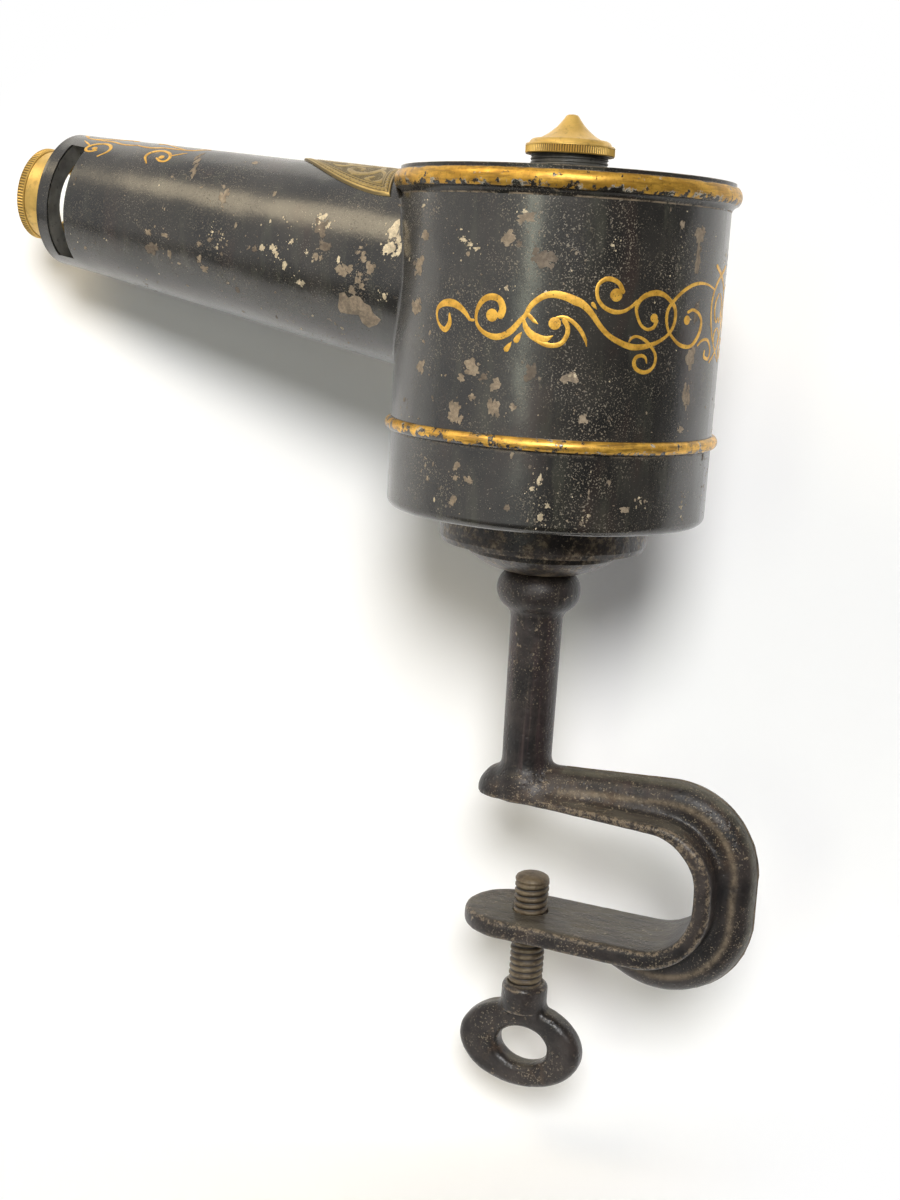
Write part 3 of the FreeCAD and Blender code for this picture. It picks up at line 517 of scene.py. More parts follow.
def make_piece(name, build, look, body, slot, sharp=40.0, **values):
    """Mesh piece that rides on a body. Values are named numbers for each point."""
    mesh = bpy.data.meshes.new(name)
    mesh.from_pydata((np.asarray(build.points, float) * MM).tolist(), [], [tuple(map(int, f)) for f in build.faces])
    mesh.validate()
    mesh.shade_smooth()
    mesh.set_sharp_from_angle(angle=math.radians(sharp))
    mesh.materials.append(M[look])
    for label, numbers in values.items():
        layer = mesh.attributes.new(label, "FLOAT", "POINT")
        layer.data.foreach_set("value", np.asarray(numbers, np.float32))
    piece = add_object(name, mesh)
    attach(piece, body)
    return piece


def drum_at(arc, height, lift):
    """Point on the drum: arc from the bow side, negative towards the front, and height above its foot."""
    angle = np.asarray(arc, float) / DRUM_R
    radius = DRUM_R + np.asarray(lift, float)
    return np.stack([radius * np.cos(angle), radius * np.sin(angle),
                     DRUM_Z + np.asarray(height, float) + 0 * angle], -1)


def tube_at(along, around, lift):
    """Point on the tube: distance from the drum axis and arc from the top line, positive towards the front."""
    along, around = np.asarray(along, float), np.asarray(around, float)
    radius = TUBE_R - TUBE_TAPER * (along - DRUM_R) + np.asarray(lift, float)
    angle = around / SCROLL_TUBE_R
    axis = np.array([0.0, 0.0, TUBE_Z]) + along[..., None] * TUBE_ALONG
    return axis + radius[..., None] * (np.cos(angle)[..., None] * TUBE_UP + np.sin(angle)[..., None] * TUBE_SIDE)


def smooth_line(points, step):
    """Smooth line through the points, as points about a step apart."""
    p = np.array(points, float)
    p = np.vstack([2 * p[0] - p[1], p, 2 * p[-1] - p[-2]])
    line = []
    for a, b, c, d in zip(p, p[1:], p[2:], p[3:]):
        count = max(2, int(np.hypot(*(c - b)[:2]) / step))
        for k in range(count):
            t = k / count
            line.append(0.5 * (2 * b + (c - a) * t + (2 * a - 5 * b + 4 * c - d) * t * t
                               + (3 * b - a - 3 * c + d) * t ** 3))
    line.append(p[-2])
    return np.array(line)


def runs(line):
    """Direction of a line at each of its points."""
    run = np.gradient(line, axis=0)
    return run / np.linalg.norm(run, axis=1)[:, None]


STROKE_STEP = 0.5
STROKE_LEAST = 0.12
PAINT_FOOT = -0.06
BALL_POINTS = 22
RIBBON_SECTION = [(-1.0, PAINT_FOOT), (-1.0, 0.035), (-0.62, 0.085), (0.0, 0.120), (0.62, 0.085), (1.0, 0.035),
                  (1.0, PAINT_FOOT)]


def ribbon(build, surface, stroke):
    """One brush stroke of (place, place, width) as a thin crowned band on a surface."""
    line = smooth_line(stroke, STROKE_STEP)
    xy, width = line[:, :2], np.maximum(line[:, 2], STROKE_LEAST)
    run = runs(xy)
    ends = np.radians([80.0, 52.0, 26.0])
    head = [(xy[0] - run[0] * width[0] / 2 * math.sin(a), run[0], width[0] * math.cos(a)) for a in ends]
    tail = [(xy[-1] + run[-1] * width[-1] / 2 * math.sin(a), run[-1], width[-1] * math.cos(a)) for a in ends[::-1]]
    rows = []
    for centre, way, wide in head + list(zip(xy, run, width)) + tail:
        across = np.array([-way[1], way[0]]) * wide / 2
        side = np.array([s for s, _ in RIBBON_SECTION])
        flat = centre + side[:, None] * across
        rows.append(surface(flat[:, 0], flat[:, 1], [h for _, h in RIBBON_SECTION]))
    build.closed(rows)


def patch(build, surface, a, b, outline, lift, crown=0.0):
    """Thin patch on a surface inside an outline of offsets about its middle."""
    outline = np.asarray(outline, float)
    shares = [1.0, 1.0, 0.55]
    heights = [PAINT_FOOT] + [lift + crown * (1 - s * s) for s in shares[1:]]
    rows = [surface(a + s * outline[:, 0], b + s * outline[:, 1], np.full(len(outline), h))
            for s, h in zip(shares, heights)]
    build.pointed(rows, surface(np.array([a]), np.array([b]), np.array([lift + crown])))


def blob(rng, half_a, half_b):
    """Ragged outline of a flake."""
    count = 8 if max(half_a, half_b) < 0.4 else 19
    turn = rng.uniform(0, math.tau)
    waves = [(k, rng.uniform(0.06, 0.28) / math.sqrt(k - 1), rng.uniform(0, math.tau)) for k in (2, 3, 5, 7)]
    points = []
    for i in range(count):
        t = turn + math.tau * i / count
        r = 1 + sum(w * math.cos(k * t + p) for k, w, p in waves) + rng.uniform(-0.26, 0.26)
        r = max(r, 0.25)
        points.append((half_a * r * math.cos(t), half_b * r * math.sin(t)))
    return points


def round_outline(radius):
    turns = [math.tau * i / BALL_POINTS for i in range(BALL_POINTS)]
    return [(radius * math.cos(a), radius * math.sin(a)) for a in turns]


def tube_arc(degrees):
    return math.radians(degrees) * SCROLL_TUBE_R


# Gold scrolls on the drum: (arc, height, width) along each brush stroke, drawn again mirrored
DRUM_STROKES = [
    [(-108.9, 69.1, .68), (-108.6, 66.4, 1.69), (-109.7, 64.4, 2.03), (-111, 63.9, 1.7), (-113.3, 65.4, 1.02),
     (-114.7, 68, .85), (-114.3, 70.7, 1.36), (-111.5, 72.4, 2.21), (-107.8, 72.6, 2.54), (-104.5, 71.4, 2.02),
     (-102.1, 69.6, 1.51), (-100.4, 67.8, 1.01), (-99, 67.7, .84)],
    [(-89.4, 69.9, 2.49), (-88.8, 71.9, 2.32), (-89.8, 74.4, 2.16), (-92, 75.5, 2.16), (-94.8, 75, 2),
     (-96.9, 73, 1.67), (-98, 70.3, 1.17), (-98, 67.7, .94), (-96.8, 65.5, 1.17), (-94.4, 63.8, 1.5),
     (-91.1, 62.9, 2), (-87.9, 63.6, 1.99), (-85.3, 65.4, 1.99), (-83.1, 68.1, 1.66), (-81.1, 70.5, 1.49),
     (-79.8, 73.1, 1.65), (-78, 75.1, 1.82), (-75.2, 76.9, 1.98), (-72, 77.5, 2.31), (-68.4, 76.9, 2.48),
     (-65.4, 75.8, 2.81), (-63.7, 75.2, 2.48), (-61.6, 73.7, 2.15), (-59.4, 71.4, 1.82), (-56.9, 68.3, 1.66),
     (-53.9, 65.6, 1.66), (-50.3, 63.7, 1.83), (-46.2, 62.4, 2), (-42.5, 62.4, 1.84), (-39, 63.1, 1.51),
     (-35.5, 64.4, 1.18), (-32.2, 66.4, 1.02), (-30, 68.8, 1.12), (-29.1, 72.1, 1.29), (-29.7, 75.4, 1.36),
     (-32, 77.6, 1.42), (-34.6, 79.2, 1.52), (-37.5, 79.8, 1.85), (-41, 79.2, 1.68), (-43.7, 77.5, 1.5),
     (-45, 75, 1.27), (-44.5, 72.2, 1), (-42.8, 69.3, 1), (-40.3, 68.1, 1.01), (-38, 68.9, 1.18),
     (-37, 70.9, 1.35)],
    [(-50.3, 79.6, 1.6), (-51.5, 81.8, 1.4), (-53.7, 83.1, 1.49), (-56.1, 83.2, 1.49), (-58.3, 81.7, 1.16),
     (-58.9, 79.4, 1.16), (-58.2, 76.6, 1.16), (-56, 74.3, 1.33), (-52.8, 73.1, 1.49), (-49.7, 73.4, 1.16),
     (-47, 74.9, 1), (-45, 76.8, 1)],
    [(-6.3, 81.9, .63), (-11.8, 83.3, .7), (-16.8, 83.7, 1.04), (-21.5, 83, 1.2), (-26, 81, 1.2),
     (-29.8, 78.1, 1.19), (-32.5, 74.9, 1.18), (-32.9, 71.3, 1.18), (-31.8, 68.1, 1.02), (-29.7, 65.9, 1.02),
     (-26.8, 63.9, 1.19), (-23.5, 63, 1.37), (-20.2, 63.2, 1.21), (-17.5, 65, 1.45), (-15.2, 68.1, 1.56),
     (-14.8, 71.4, 1.22), (-16.7, 73.7, 1.21), (-20.3, 75, 1.03), (-23, 74.2, 1.03)],
    [(-46.7, 64, .6), (-45.7, 65.3, .93), (-43.9, 65.7, .84), (-41.6, 65, 1.01), (-39.5, 63.6, 1.18),
     (-37.2, 61.4, 1.01), (-36.2, 59.1, 1.01), (-36.7, 56.5, 1.01), (-38.6, 54.8, 1.18), (-40.9, 54.4, 1.34),
     (-43.3, 55.3, 1.34), (-44.4, 57.2, 1.34), (-43.7, 59.1, 1.17), (-41.8, 59.7, 1.17), (-40.2, 59, .94),
     (-39.6, 57.3, .34)],
    [(-81.5, 69, .83), (-80.9, 66.9, 1.65), (-79.2, 64.8, 2.31), (-76.8, 63.5, 2.58), (-74.2, 63.3, 1.98),
     (-71.9, 64.5, .26)],
    [(-77.4, 62.8, .99), (-74.1, 61.6, 1.49), (-71.1, 61.5, 1.49), (-68.9, 62.5, 1.49), (-67.5, 64.9, 1.49),
     (-67.4, 67.5, 1.49), (-68.6, 69.5, 1.65)],
    [(-80.7, 71, .99), (-79.3, 69.8, 1.32), (-78, 68.6, .99), (-76.9, 67.9, .2)],
    [(-71.1, 70.3, .66), (-69.5, 70.5, 1.06), (-67.4, 70.1, 1.19), (-65.1, 68.6, 1.32), (-63, 66.4, 1.32),
     (-61.5, 63.8, .99), (-60.9, 61.8, .26)],
    [(-15.9, 63.4, .62), (-13.4, 65, .87), (-9.6, 65.4, 1.05), (-6.9, 63.7, 1.06), (-5.8, 61.3, 1.06),
     (-7.2, 59, 1.13), (-10.6, 59.7, 1.26), (-10.6, 61.7, .7)],
    [(5.8, 89.6, 1.44), (-1.9, 85.7, 1.42), (-5.5, 82.6, 1.06), (-7.5, 78.9, 1.05), (-7.8, 74.9, 1.05),
     (-6.7, 70.1, 1.06), (-4.3, 65.4, .88), (.2, 61.2, .89), (5.6, 57.9, .9)],
    [(-1.2, 80.6, .5), (-3.6, 78.4, 1.1), (-4.4, 75.2, 1.3), (-3.4, 72.3, 1.1), (-1.4, 71.2, .8), (-.2, 72.6, .5)],
    [(-.4, 69.2, .4), (-2.4, 68, 1), (-3.4, 66.2, .9), (-2.6, 64.7, .4)],
    [(-83.6, 62.4, 1.9), (-82.9, 63.6, 1.5), (-81.9, 65, .2)],
    [(-86.7, 59.3, 1.8), (-86, 60.4, 1.4), (-85.1, 61.7, .2)],
    [(-59.9, 75.2, 1.3), (-59.2, 74.4, 1), (-58.5, 73.6, .2)],
]
DRUM_BALLS = [(-92.4, 69.7, 2.06), (-52.4, 78.4, 2.06), (-38.1, 71.8, 1.41), (-23.3, 71.6, 1.54),
              (-71.6, 68.4, 1.98)]

scrolls = Builder()
for side in (1, -1):
    for stroke in DRUM_STROKES:
        ribbon(scrolls, drum_at, [(side * a, h, w) for a, h, w in stroke])
    for arc, height, radius in DRUM_BALLS:
        patch(scrolls, drum_at, side * arc, height, round_outline(radius), 0.04, 0.11)
make_piece("drum_scrolls", scrolls, "gold", "lamp_house", "black_tin")

# Gold scrolls on top of the tube: (distance along, degrees from the top line, width), mirrored both ways
TUBE_STROKES = [
    [(146.3, 7.1, .3), (147.6, 10, 1.5), (148.8, 12.8, 1.2), (151.1, 17.6, .9), (156.9, 19.1, 1.1),
     (163.1, 19.6, 1.2), (168.2, 22.6, 1.2), (172.6, 21.8, .9), (174.5, 20.4, .6)],
    [(163.2, 44.7, .5), (165.7, 38.1, 1), (165.7, 32.4, 1.3), (163.8, 27.6, 1.4), (160.9, 26, 1.4),
     (157.4, 29.3, 1.3), (155.7, 34.7, 1.2), (156.2, 39.4, 1.1), (158.4, 40.3, 1), (160.7, 37.6, .8)],
    [(168.6, 6.9, .4), (169.9, 4.9, .8), (168.6, 3.4, .9), (165.6, 5.6, 1), (159.6, 13.5, 1), (153.8, 18.2, .7)],
    [(155.4, 31.2, .7), (153.2, 27.8, .8), (151.2, 24.8, .3)],
]
TUBE_BALL = (159.2, 35.4, 1.15)
TUBE_SCROLL_MIDDLE = 174.5
scrolls = Builder()
for side in (1, -1):
    for end in (1, -1):
        placed = [[(TUBE_SCROLL_MIDDLE + end * (t - TUBE_SCROLL_MIDDLE), side * tube_arc(p), w) for t, p, w in stroke]
                  for stroke in TUBE_STROKES + [[TUBE_BALL]]]
        for stroke in placed[:-1]:
            ribbon(scrolls, tube_at, stroke)
        along, around, radius = placed[-1][0]
        patch(scrolls, tube_at, along, around, round_outline(radius), 0.04, 0.10)
make_piece("tube_scrolls", scrolls, "gold", "lamp_house", "black_tin")

# Flaked spots: (place, place, half width, half height, kind); t tan, c cream, b brown, s a group of specks
DRUM_FLAKES = [
    (-82.5, 100.7, 2.1, 1.1, "t"), (-104.8, 93.0, 1.1, 0.5, "c"), (-102.1, 91.6, 0.9, 0.5, "c"),
    (-99.5, 90.3, 0.8, 0.5, "c"), (-123.9, 93.7, 1.6, 1.2, "t"), (-88.5, 94.4, 1.8, 1.6, "t"),
    (-76.2, 88.3, 2.6, 2.4, "b"), (-126.8, 83.8, 1.8, 2.2, "t"), (-126.9, 70.2, 2.1, 2.2, "t"),
    (-20.3, 98.7, 2.0, 2.0, "t"), (-20.4, 91.2, 1.2, 3.4, "t"), (-83.6, 102.5, 0.6, 0.5, "c"),
    (-125.7, 103.4, 0.8, 0.4, "c"), (-54.9, 93.7, 0.4, 0.3, "c"), (-88.1, 78.2, 0.4, 0.4, "c"),
    (-98.4, 52.7, 2.2, 1.7, "t"), (-102.4, 48.6, 1.2, 1.0, "t"), (-89.3, 47.8, 1.4, 1.4, "t"),
    (-78.3, 52.1, 1.4, 2.0, "b"), (-65.4, 51.4, 2.1, 1.3, "t"), (-64.6, 51.9, 0.9, 0.6, "c"),
    (-104.0, 37.8, 1.7, 2.6, "t"), (-97.8, 43.1, 0.9, 0.8, "t"), (-90.0, 40.3, 1.3, 2.4, "t"),
    (-94.0, 49.9, 0.9, 0.8, "b"), (-122.0, 51.0, 1.5, 2.0, "t"), (-84.6, 92.6, 0.8, 0.7, "b"),
    (-83.1, 40.9, 0.8, 0.8, "t"), (-60.5, 38.6, 1.1, 1.1, "t"), (-19.6, 59.0, 1.5, 3.3, "t"),
    (-19.7, 46.2, 1.6, 2.7, "t"), (-21.6, 35.8, 1.3, 0.7, "t"), (-18.6, 74.0, 0.9, 2.6, "b"),
]
PAN_FLAKES = [
    (-102.2, 20.0, 1.0, 1.2, "t"), (-102.4, 15.9, 0.7, 0.6, "t"), (-97.2, 15.7, 1.1, 1.0, "t"),
    (-73.1, 18.0, 0.5, 1.2, "c"), (-75.3, 15.1, 0.6, 0.6, "c"), (-69.8, 9.9, 0.5, 0.6, "c"),
    (-71.9, 6.2, 0.6, 1.0, "c"), (-102.9, 8.6, 1.0, 1.2, "t"), (-57.2, 6.6, 1.8, 1.4, "s"),
    (-36.8, 11.5, 2.0, 1.2, "s"), (-43.3, 9.2, 1.2, 0.8, "t"), (-16.8, 9.4, 2.0, 2.5, "s"),
]
TUBE_FLAKES = [
    (124.0, 62.9, 1.3, 1.9, "t"), (145.4, 27.1, 0.6, 2.1, "t"), (143.6, 35.1, 0.6, 1.8, "t"),
    (142.2, 42.1, 0.6, 1.5, "t"), (141.1, 48.2, 0.6, 1.5, "t"), (121.0, 26.2, 0.8, 0.9, "t"),
    (104.2, 55.2, 0.5, 0.8, "t"), (153.0, 98.6, 0.9, 0.7, "t"), (145.6, 98.2, 1.0, 0.6, "t"),
    (152.1, 110.5, 2.0, 1.3, "b"), (143.2, 110.9, 0.6, 1.0, "t"), (130.0, 98.7, 0.7, 0.6, "t"),
    (125.4, 94.4, 0.6, 0.5, "t"), (124.7, 88.7, 0.3, 0.3, "c"), (120.1, 89.3, 0.3, 0.2, "c"),
    (122.1, 98.4, 0.5, 0.4, "c"), (118.0, 95.2, 0.3, 0.3, "t"), (129.7, 109.3, 0.7, 0.9, "t"),
    (127.8, 116.2, 1.0, 0.8, "t"), (105.8, 93.9, 0.7, 0.6, "b"), (98.8, 90.2, 0.7, 0.7, "c"),
    (97.7, 91.9, 0.7, 0.7, "c"), (96.6, 93.9, 0.6, 0.7, "c"), (92.8, 99.5, 0.7, 1.0, "c"),
    (69.5, 95.0, 1.8, 1.3, "t"), (66.2, 93.0, 1.2, 0.7, "t"), (58.5, 90.3, 1.3, 1.2, "t"),
    (77.7, 83.4, 1.6, 1.0, "b"), (80.9, 72.9, 1.7, 1.9, "b"), (78.6, 70.0, 0.6, 0.7, "c"),
    (82.4, 69.5, 0.5, 0.4, "c"), (81.6, 65.6, 1.1, 0.9, "c"), (64.5, 105.4, 1.0, 1.1, "t"),
    (62.5, 98.8, 0.9, 0.7, "t"), (60.8, 101.1, 0.8, 0.7, "t"), (62.1, 94.9, 0.6, 0.5, "t"),
    (86.1, 108.5, 1.2, 0.6, "c"), (80.5, 90.2, 0.8, 1.0, "t"), (78.5, 90.2, 0.4, 0.6, "t"),
    (84.3, 89.3, 0.4, 0.3, "c"), (91.1, 84.4, 0.6, 0.5, "c"), (95.0, 72.8, 0.3, 0.2, "c"),
    (61.7, 85.6, 1.0, 0.8, "t"), (64.1, 82.8, 0.6, 0.5, "t"), (62.1, 82.8, 0.5, 0.4, "t"),
    (63.6, 79.8, 0.4, 0.3, "t"), (52.9, 65.4, 1.5, 1.9, "c"), (50.2, 71.3, 0.6, 1.0, "c"),
    (48.5, 76.1, 0.9, 1.3, "c"), (52.5, 76.6, 1.7, 1.5, "c"), (51.5, 104.3, 0.6, 0.7, "c"),
]
BIG_FLAKE = [(69.7, 108.8), (67.6, 107.5), (66.0, 110.5), (63.6, 107.8), (61.2, 108.1), (59.5, 111.1),
             (57.1, 112.1), (56.0, 116.0), (52.9, 119.2), (54.7, 123.4), (58.3, 127.3), (60.9, 124.9),
             (61.4, 119.6), (63.9, 120.4), (66.3, 121.2), (69.7, 121.6), (70.5, 118.2), (69.9, 113.3)]
KINDS = {"t": "tan", "c": "cream", "b": "brown"}
FLAKE_LIFT = 0.045
GROUP_SPECKS = 14


def flakes(name, surface, spots, body, rng, extra):
    """Flaked spots by kind, with small ones scattered round them by a maker of random places."""
    builds = {kind: Builder() for kind in KINDS}
    for a, b, half_a, half_b, kind in spots:
        if kind == "s":
            for _ in range(GROUP_SPECKS):
                size = rng.uniform(0.15, 0.45)
                patch(builds[rng.choice("ttc")], surface, a + rng.gauss(0, half_a * 0.8),
                      b + rng.gauss(0, half_b * 0.8), blob(rng, size, size * rng.uniform(0.7, 1.4)), FLAKE_LIFT)
            continue
        patch(builds[kind], surface, a, b, blob(rng, half_a * 1.15, half_b * 1.15), FLAKE_LIFT)
        for _ in range(rng.randint(4, 8)):
            share = rng.uniform(0.26, 0.62)
            patch(builds[kind], surface, a + rng.uniform(-1.3, 1.3) * half_a, b + rng.uniform(-1.3, 1.3) * half_b,
                  blob(rng, half_a * share, half_b * share), FLAKE_LIFT + rng.uniform(0, 0.02))
        for _ in range(rng.randint(3, 9)):
            size = rng.uniform(0.07, 0.26)
            patch(builds[kind], surface, a + rng.gauss(0, 1.0 + half_a), b + rng.gauss(0, 1.0 + half_b),
                  blob(rng, size, size * rng.uniform(0.7, 1.5)), FLAKE_LIFT)
    for a, b in extra(rng):
        size = min(0.95, 0.16 * math.exp(abs(rng.gauss(0, 0.75))))
        patch(builds[rng.choice("tttbbbc" if size > 0.4 else "tttbbc")], surface, a, b,
              blob(rng, size, size * rng.uniform(0.6, 1.7)), FLAKE_LIFT)
    for kind, build in builds.items():
        make_piece(f"{name}_flakes_{KINDS[kind]}", build, KINDS[kind], body, "black_tin")


def clusters(rng, count, spread, places):
    """Random places gathered round random middles."""
    found = []
    while len(found) < count:
        a, b = places(rng)
        for _ in range(rng.randint(1, 5)):
            found.append((a + rng.gauss(0, spread), b + rng.gauss(0, spread)))
    return found


def drum_free(rng):
    """Places on the drum wall clear of the beads and the tube."""
    return [(a, min(max(b, 33.5), 106.0)) for a, b in clusters(
        rng, 190, 4.5, lambda r: (r.uniform(-138, 138), r.uniform(34, 106))) if abs(a) < 138]


def pan_free(rng):
    return [(a, min(max(b, 4.6), 25.5)) for a, b in clusters(
        rng, 110, 3.5, lambda r: (r.uniform(-178, 178), r.uniform(5, 25)))]


def tube_free(rng):
    return [(min(max(a, 70.0), 190.0), b) for a, b in clusters(
        rng, 170, 4.5, lambda r: (r.uniform(70, 190), tube_arc(r.uniform(50, 310))))]


rng = random.Random(41)
flakes("drum", drum_at, DRUM_FLAKES, "lamp_house", rng, drum_free)
flakes("pan", drum_at, PAN_FLAKES, "turntable", rng, pan_free)
tube_spots = [(a, tube_arc(p), w, h, k) for a, p, w, h, k in TUBE_FLAKES]
flakes("tube", tube_at, tube_spots, "lamp_house", rng, tube_free)
big = Builder()
middle = np.mean([(a, tube_arc(p)) for a, p in BIG_FLAKE], axis=0)
patch(big, tube_at, middle[0], middle[1],
      [(a - middle[0], tube_arc(p) - middle[1]) for a, p in BIG_FLAKE], FLAKE_LIFT)
make_piece("tube_flake_large", big, "tan", "lamp_house", "black_tin")


TOOTH_POINTS = 6


def circle(radius, angle, z, x=0.0):
    return np.stack([x + radius * np.cos(angle), radius * np.sin(angle), np.full(len(angle), z)], -1)


def turned_rows(profile, segments, ripple):
    """Rows of points of a turned shape; ripple changes the radius by row number and angle."""
    angle = np.linspace(0, math.tau, segments, endpoint=False)
    return np.array([circle(radius + ripple(i, angle), angle, z) for i, (radius, z) in enumerate(profile)])


def knurled_rows(profile, rippled, teeth, depth):
    """Turned rows, some of them with teeth, and how far each point stands proud."""
    def ripple(i, angle):
        return -depth * (0.5 - 0.5 * np.cos(teeth * angle)) ** 0.7 if i in rippled else 0.0

    rows = turned_rows(profile, teeth * TOOTH_POINTS, ripple)
    relief = np.ones(rows.shape[:2])
    for i in rippled:
        relief[i] = 1 + ripple(i, np.linspace(0, math.tau, rows.shape[1], endpoint=False)) / depth
    return rows, relief


def arc_points(start, end, bulge, count):
    """Points of an arc from start to end that stands off its chord to the right by a bulge, without the start."""
    (x0, y0), (x1, y1) = start, end
    chord = math.hypot(x1 - x0, y1 - y0)
    points = []
    for k in range(1, count + 1):
        t = k / count
        off = 4 * bulge * t * (1 - t) / chord
        points.append((x0 + t * (x1 - x0) + off * (y1 - y0), y0 + t * (y1 - y0) - off * (x1 - x0)))
    return points


# Brass cap with a knurled band
CAP_R = 15.5
CAP_LOW_Z = LID_Z + 8.6
CAP_BAND_TOP = CAP_LOW_Z + 3.4
CAP_TIP_Z = CAP_BAND_TOP + 10.4
CAP_TEETH = 108
KNURL_DEPTH = 0.42


def make_cap():
    bore, ceiling = 13.75, LID_Z + 10.45
    edge, shoulder, tip = (14.5, CAP_BAND_TOP), (11.4, CAP_BAND_TOP + 1.8), (2.3, CAP_TIP_Z - 0.7)
    band = [(CAP_R - 0.25, CAP_LOW_Z), (CAP_R, CAP_LOW_Z + 0.3), (CAP_R, CAP_LOW_Z + 0.35),
            (CAP_R, CAP_BAND_TOP - 0.75), (CAP_R, CAP_BAND_TOP - 0.68), (CAP_R, CAP_BAND_TOP - 0.2),
            (CAP_R - 0.2, CAP_BAND_TOP)]
    profile = [(0.05, ceiling), (bore, ceiling), (bore, CAP_LOW_Z)] + band + [edge]
    profile += arc_points(edge, shoulder, 0.79, 5)
    profile += arc_points(shoulder, tip, -0.9, 12)
    profile += [(1.9, CAP_TIP_Z - 0.3), (1.1, CAP_TIP_Z - 0.06), (0.05, CAP_TIP_Z)]
    rows, relief = knurled_rows(profile, {5, 6}, CAP_TEETH, KNURL_DEPTH)
    build = Builder().closed(rows)
    piece = make_piece("cap", build, "knurl", "cap", "brass", 30, relief=relief.ravel())
    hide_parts("vent_cap")


make_cap()


# Neck under the cap, threaded at its top
def make_neck():
    bore, collar_r, neck_r = 12.2, 14.4, 13.5
    pitch, depth, segments = 1.25, 0.34, 160
    thread_low, thread_h, thread_end = 5.1, 4.9, 10.15
    low, top = LID_Z - 0.8, LID_Z + 10.2
    profile = [(bore, top), (bore, low), (collar_r, low), (collar_r, LID_Z + 4.7), (collar_r - 0.3, LID_Z + 5.0),
               (neck_r, LID_Z + 5.05)]
    first = len(profile)
    steps = 44
    profile += [(neck_r, LID_Z + thread_low + (thread_h * k / steps)) for k in range(1, steps + 1)]

    def ripple(i, angle):
        if not first <= i < first + steps:
            return 0.0
        z = profile[i][1] - LID_Z
        fade = min(1.0, (z - thread_low) / 0.5, max(0.0, (thread_end - z) / 0.4))
        return -depth * max(fade, 0.0) * (0.5 - 0.5 * np.cos(math.tau * z / pitch - angle))

    rows = turned_rows(profile + [(neck_r - 0.1, top)], segments, ripple)
    build = Builder()
    build.rows(np.concatenate([rows, rows[:1]]))
    piece = make_piece("neck", build, "neck", "lamp_house", "black_tin", 35)
    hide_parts("vent_neck")


make_neck()


# Threaded rod of the ring screw
def make_screw():
    radius, pitch, depth, segments = 6.5, 2.54, 0.95, 84
    low, top, dome, dome_relief = -82.0, -29.5, 2.0, 0.85
    rows_per_turn, runout = 11, 3.0
    shoulder = top - dome
    rng = np.random.default_rng(7)
    wave = rng.uniform(0, math.tau, 3)
    angle = np.linspace(0, math.tau, segments, endpoint=False)
    rows, relief = [], []
    for z in np.arange(low, shoulder, pitch / rows_per_turn):
        crest = 0.5 + 0.5 * np.cos(math.tau * z / pitch - angle)
        crest = np.clip(crest * 1.35 - 0.08, 0, 1) ** 0.8
        wear = 0.85 + 0.15 * np.sin(0.21 * z + 2 * angle + wave[0]) * np.sin(0.5 * z + wave[1])
        fade = np.clip((shoulder - z) / runout, 0.12, 1)
        r = radius - depth * fade * wear * (1 - crest) - 0.05 * (1 + np.sin(3 * angle + 0.4 * z + wave[2])) * crest
        rows.append(circle(r, angle, z, SCREW_X))
        relief.append(1 - (1 - crest) * fade)
    for share in (0.0, 0.30, 0.55, 0.75, 0.90):
        r = radius * 0.97 * math.sqrt(1 - share * share * 0.98)
        rows.append(circle(r, angle, shoulder + dome * share, SCREW_X))
        relief.append(np.full(segments, dome_relief))
    build = Builder().pointed(rows, [(SCREW_X, 0.0, top - 0.05)])
    values = list(np.array(relief).ravel()) + [dome_relief]
    piece = make_piece("screw_thread", build, "screw", "screw", "screw_iron", 60, relief=values)
    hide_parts("clamp_screw")


make_screw()


# Embossed brass plate over the tube
PLATE_START, PLATE_END, PLATE_HALF, PLATE_BULGE = 61.4, 103.4, 23.7, 4.9
PLATE_OFF, PLATE_T, PLATE_RELIEF = 0.05, 0.62, 0.42


def plate_edge():
    """Centre and radius, in plan, of the plate's curved edge on its +Y side."""
    a, b = np.array([-PLATE_START, PLATE_HALF]), np.array([-PLATE_END, 0.0])
    chord = np.linalg.norm(b - a)
    right = np.array([b[1] - a[1], a[0] - b[0]]) / chord
    radius = (chord * chord / 4 + PLATE_BULGE ** 2) / (2 * PLATE_BULGE)
    return (a + b) / 2 - right * (radius - PLATE_BULGE), radius


def tube_top(x, y, lift):
    """Point above a plan place on the tube's upper skin."""
    along = -x / math.cos(TUBE_TILT)
    for _ in range(8):
        radius = TUBE_R - TUBE_TAPER * (along - DRUM_R) + lift
        up = np.sqrt(np.maximum(radius * radius - y * y, 1.0))
        along = (math.sin(TUBE_TILT) * up - x) / math.cos(TUBE_TILT)
    return np.stack([x, y, TUBE_Z + math.sin(TUBE_TILT) * along + math.cos(TUBE_TILT) * up], -1)


def nearest(x, y, line):
    """Distance from each place to a line, and the width there."""
    best = np.full(x.shape, 1e9)
    wide = np.zeros(x.shape)
    for px, py, w in line:
        d = np.hypot(x - px, y - py)
        wide = np.where(d < best, w, wide)
        best = np.minimum(best, d)
    return best, wide


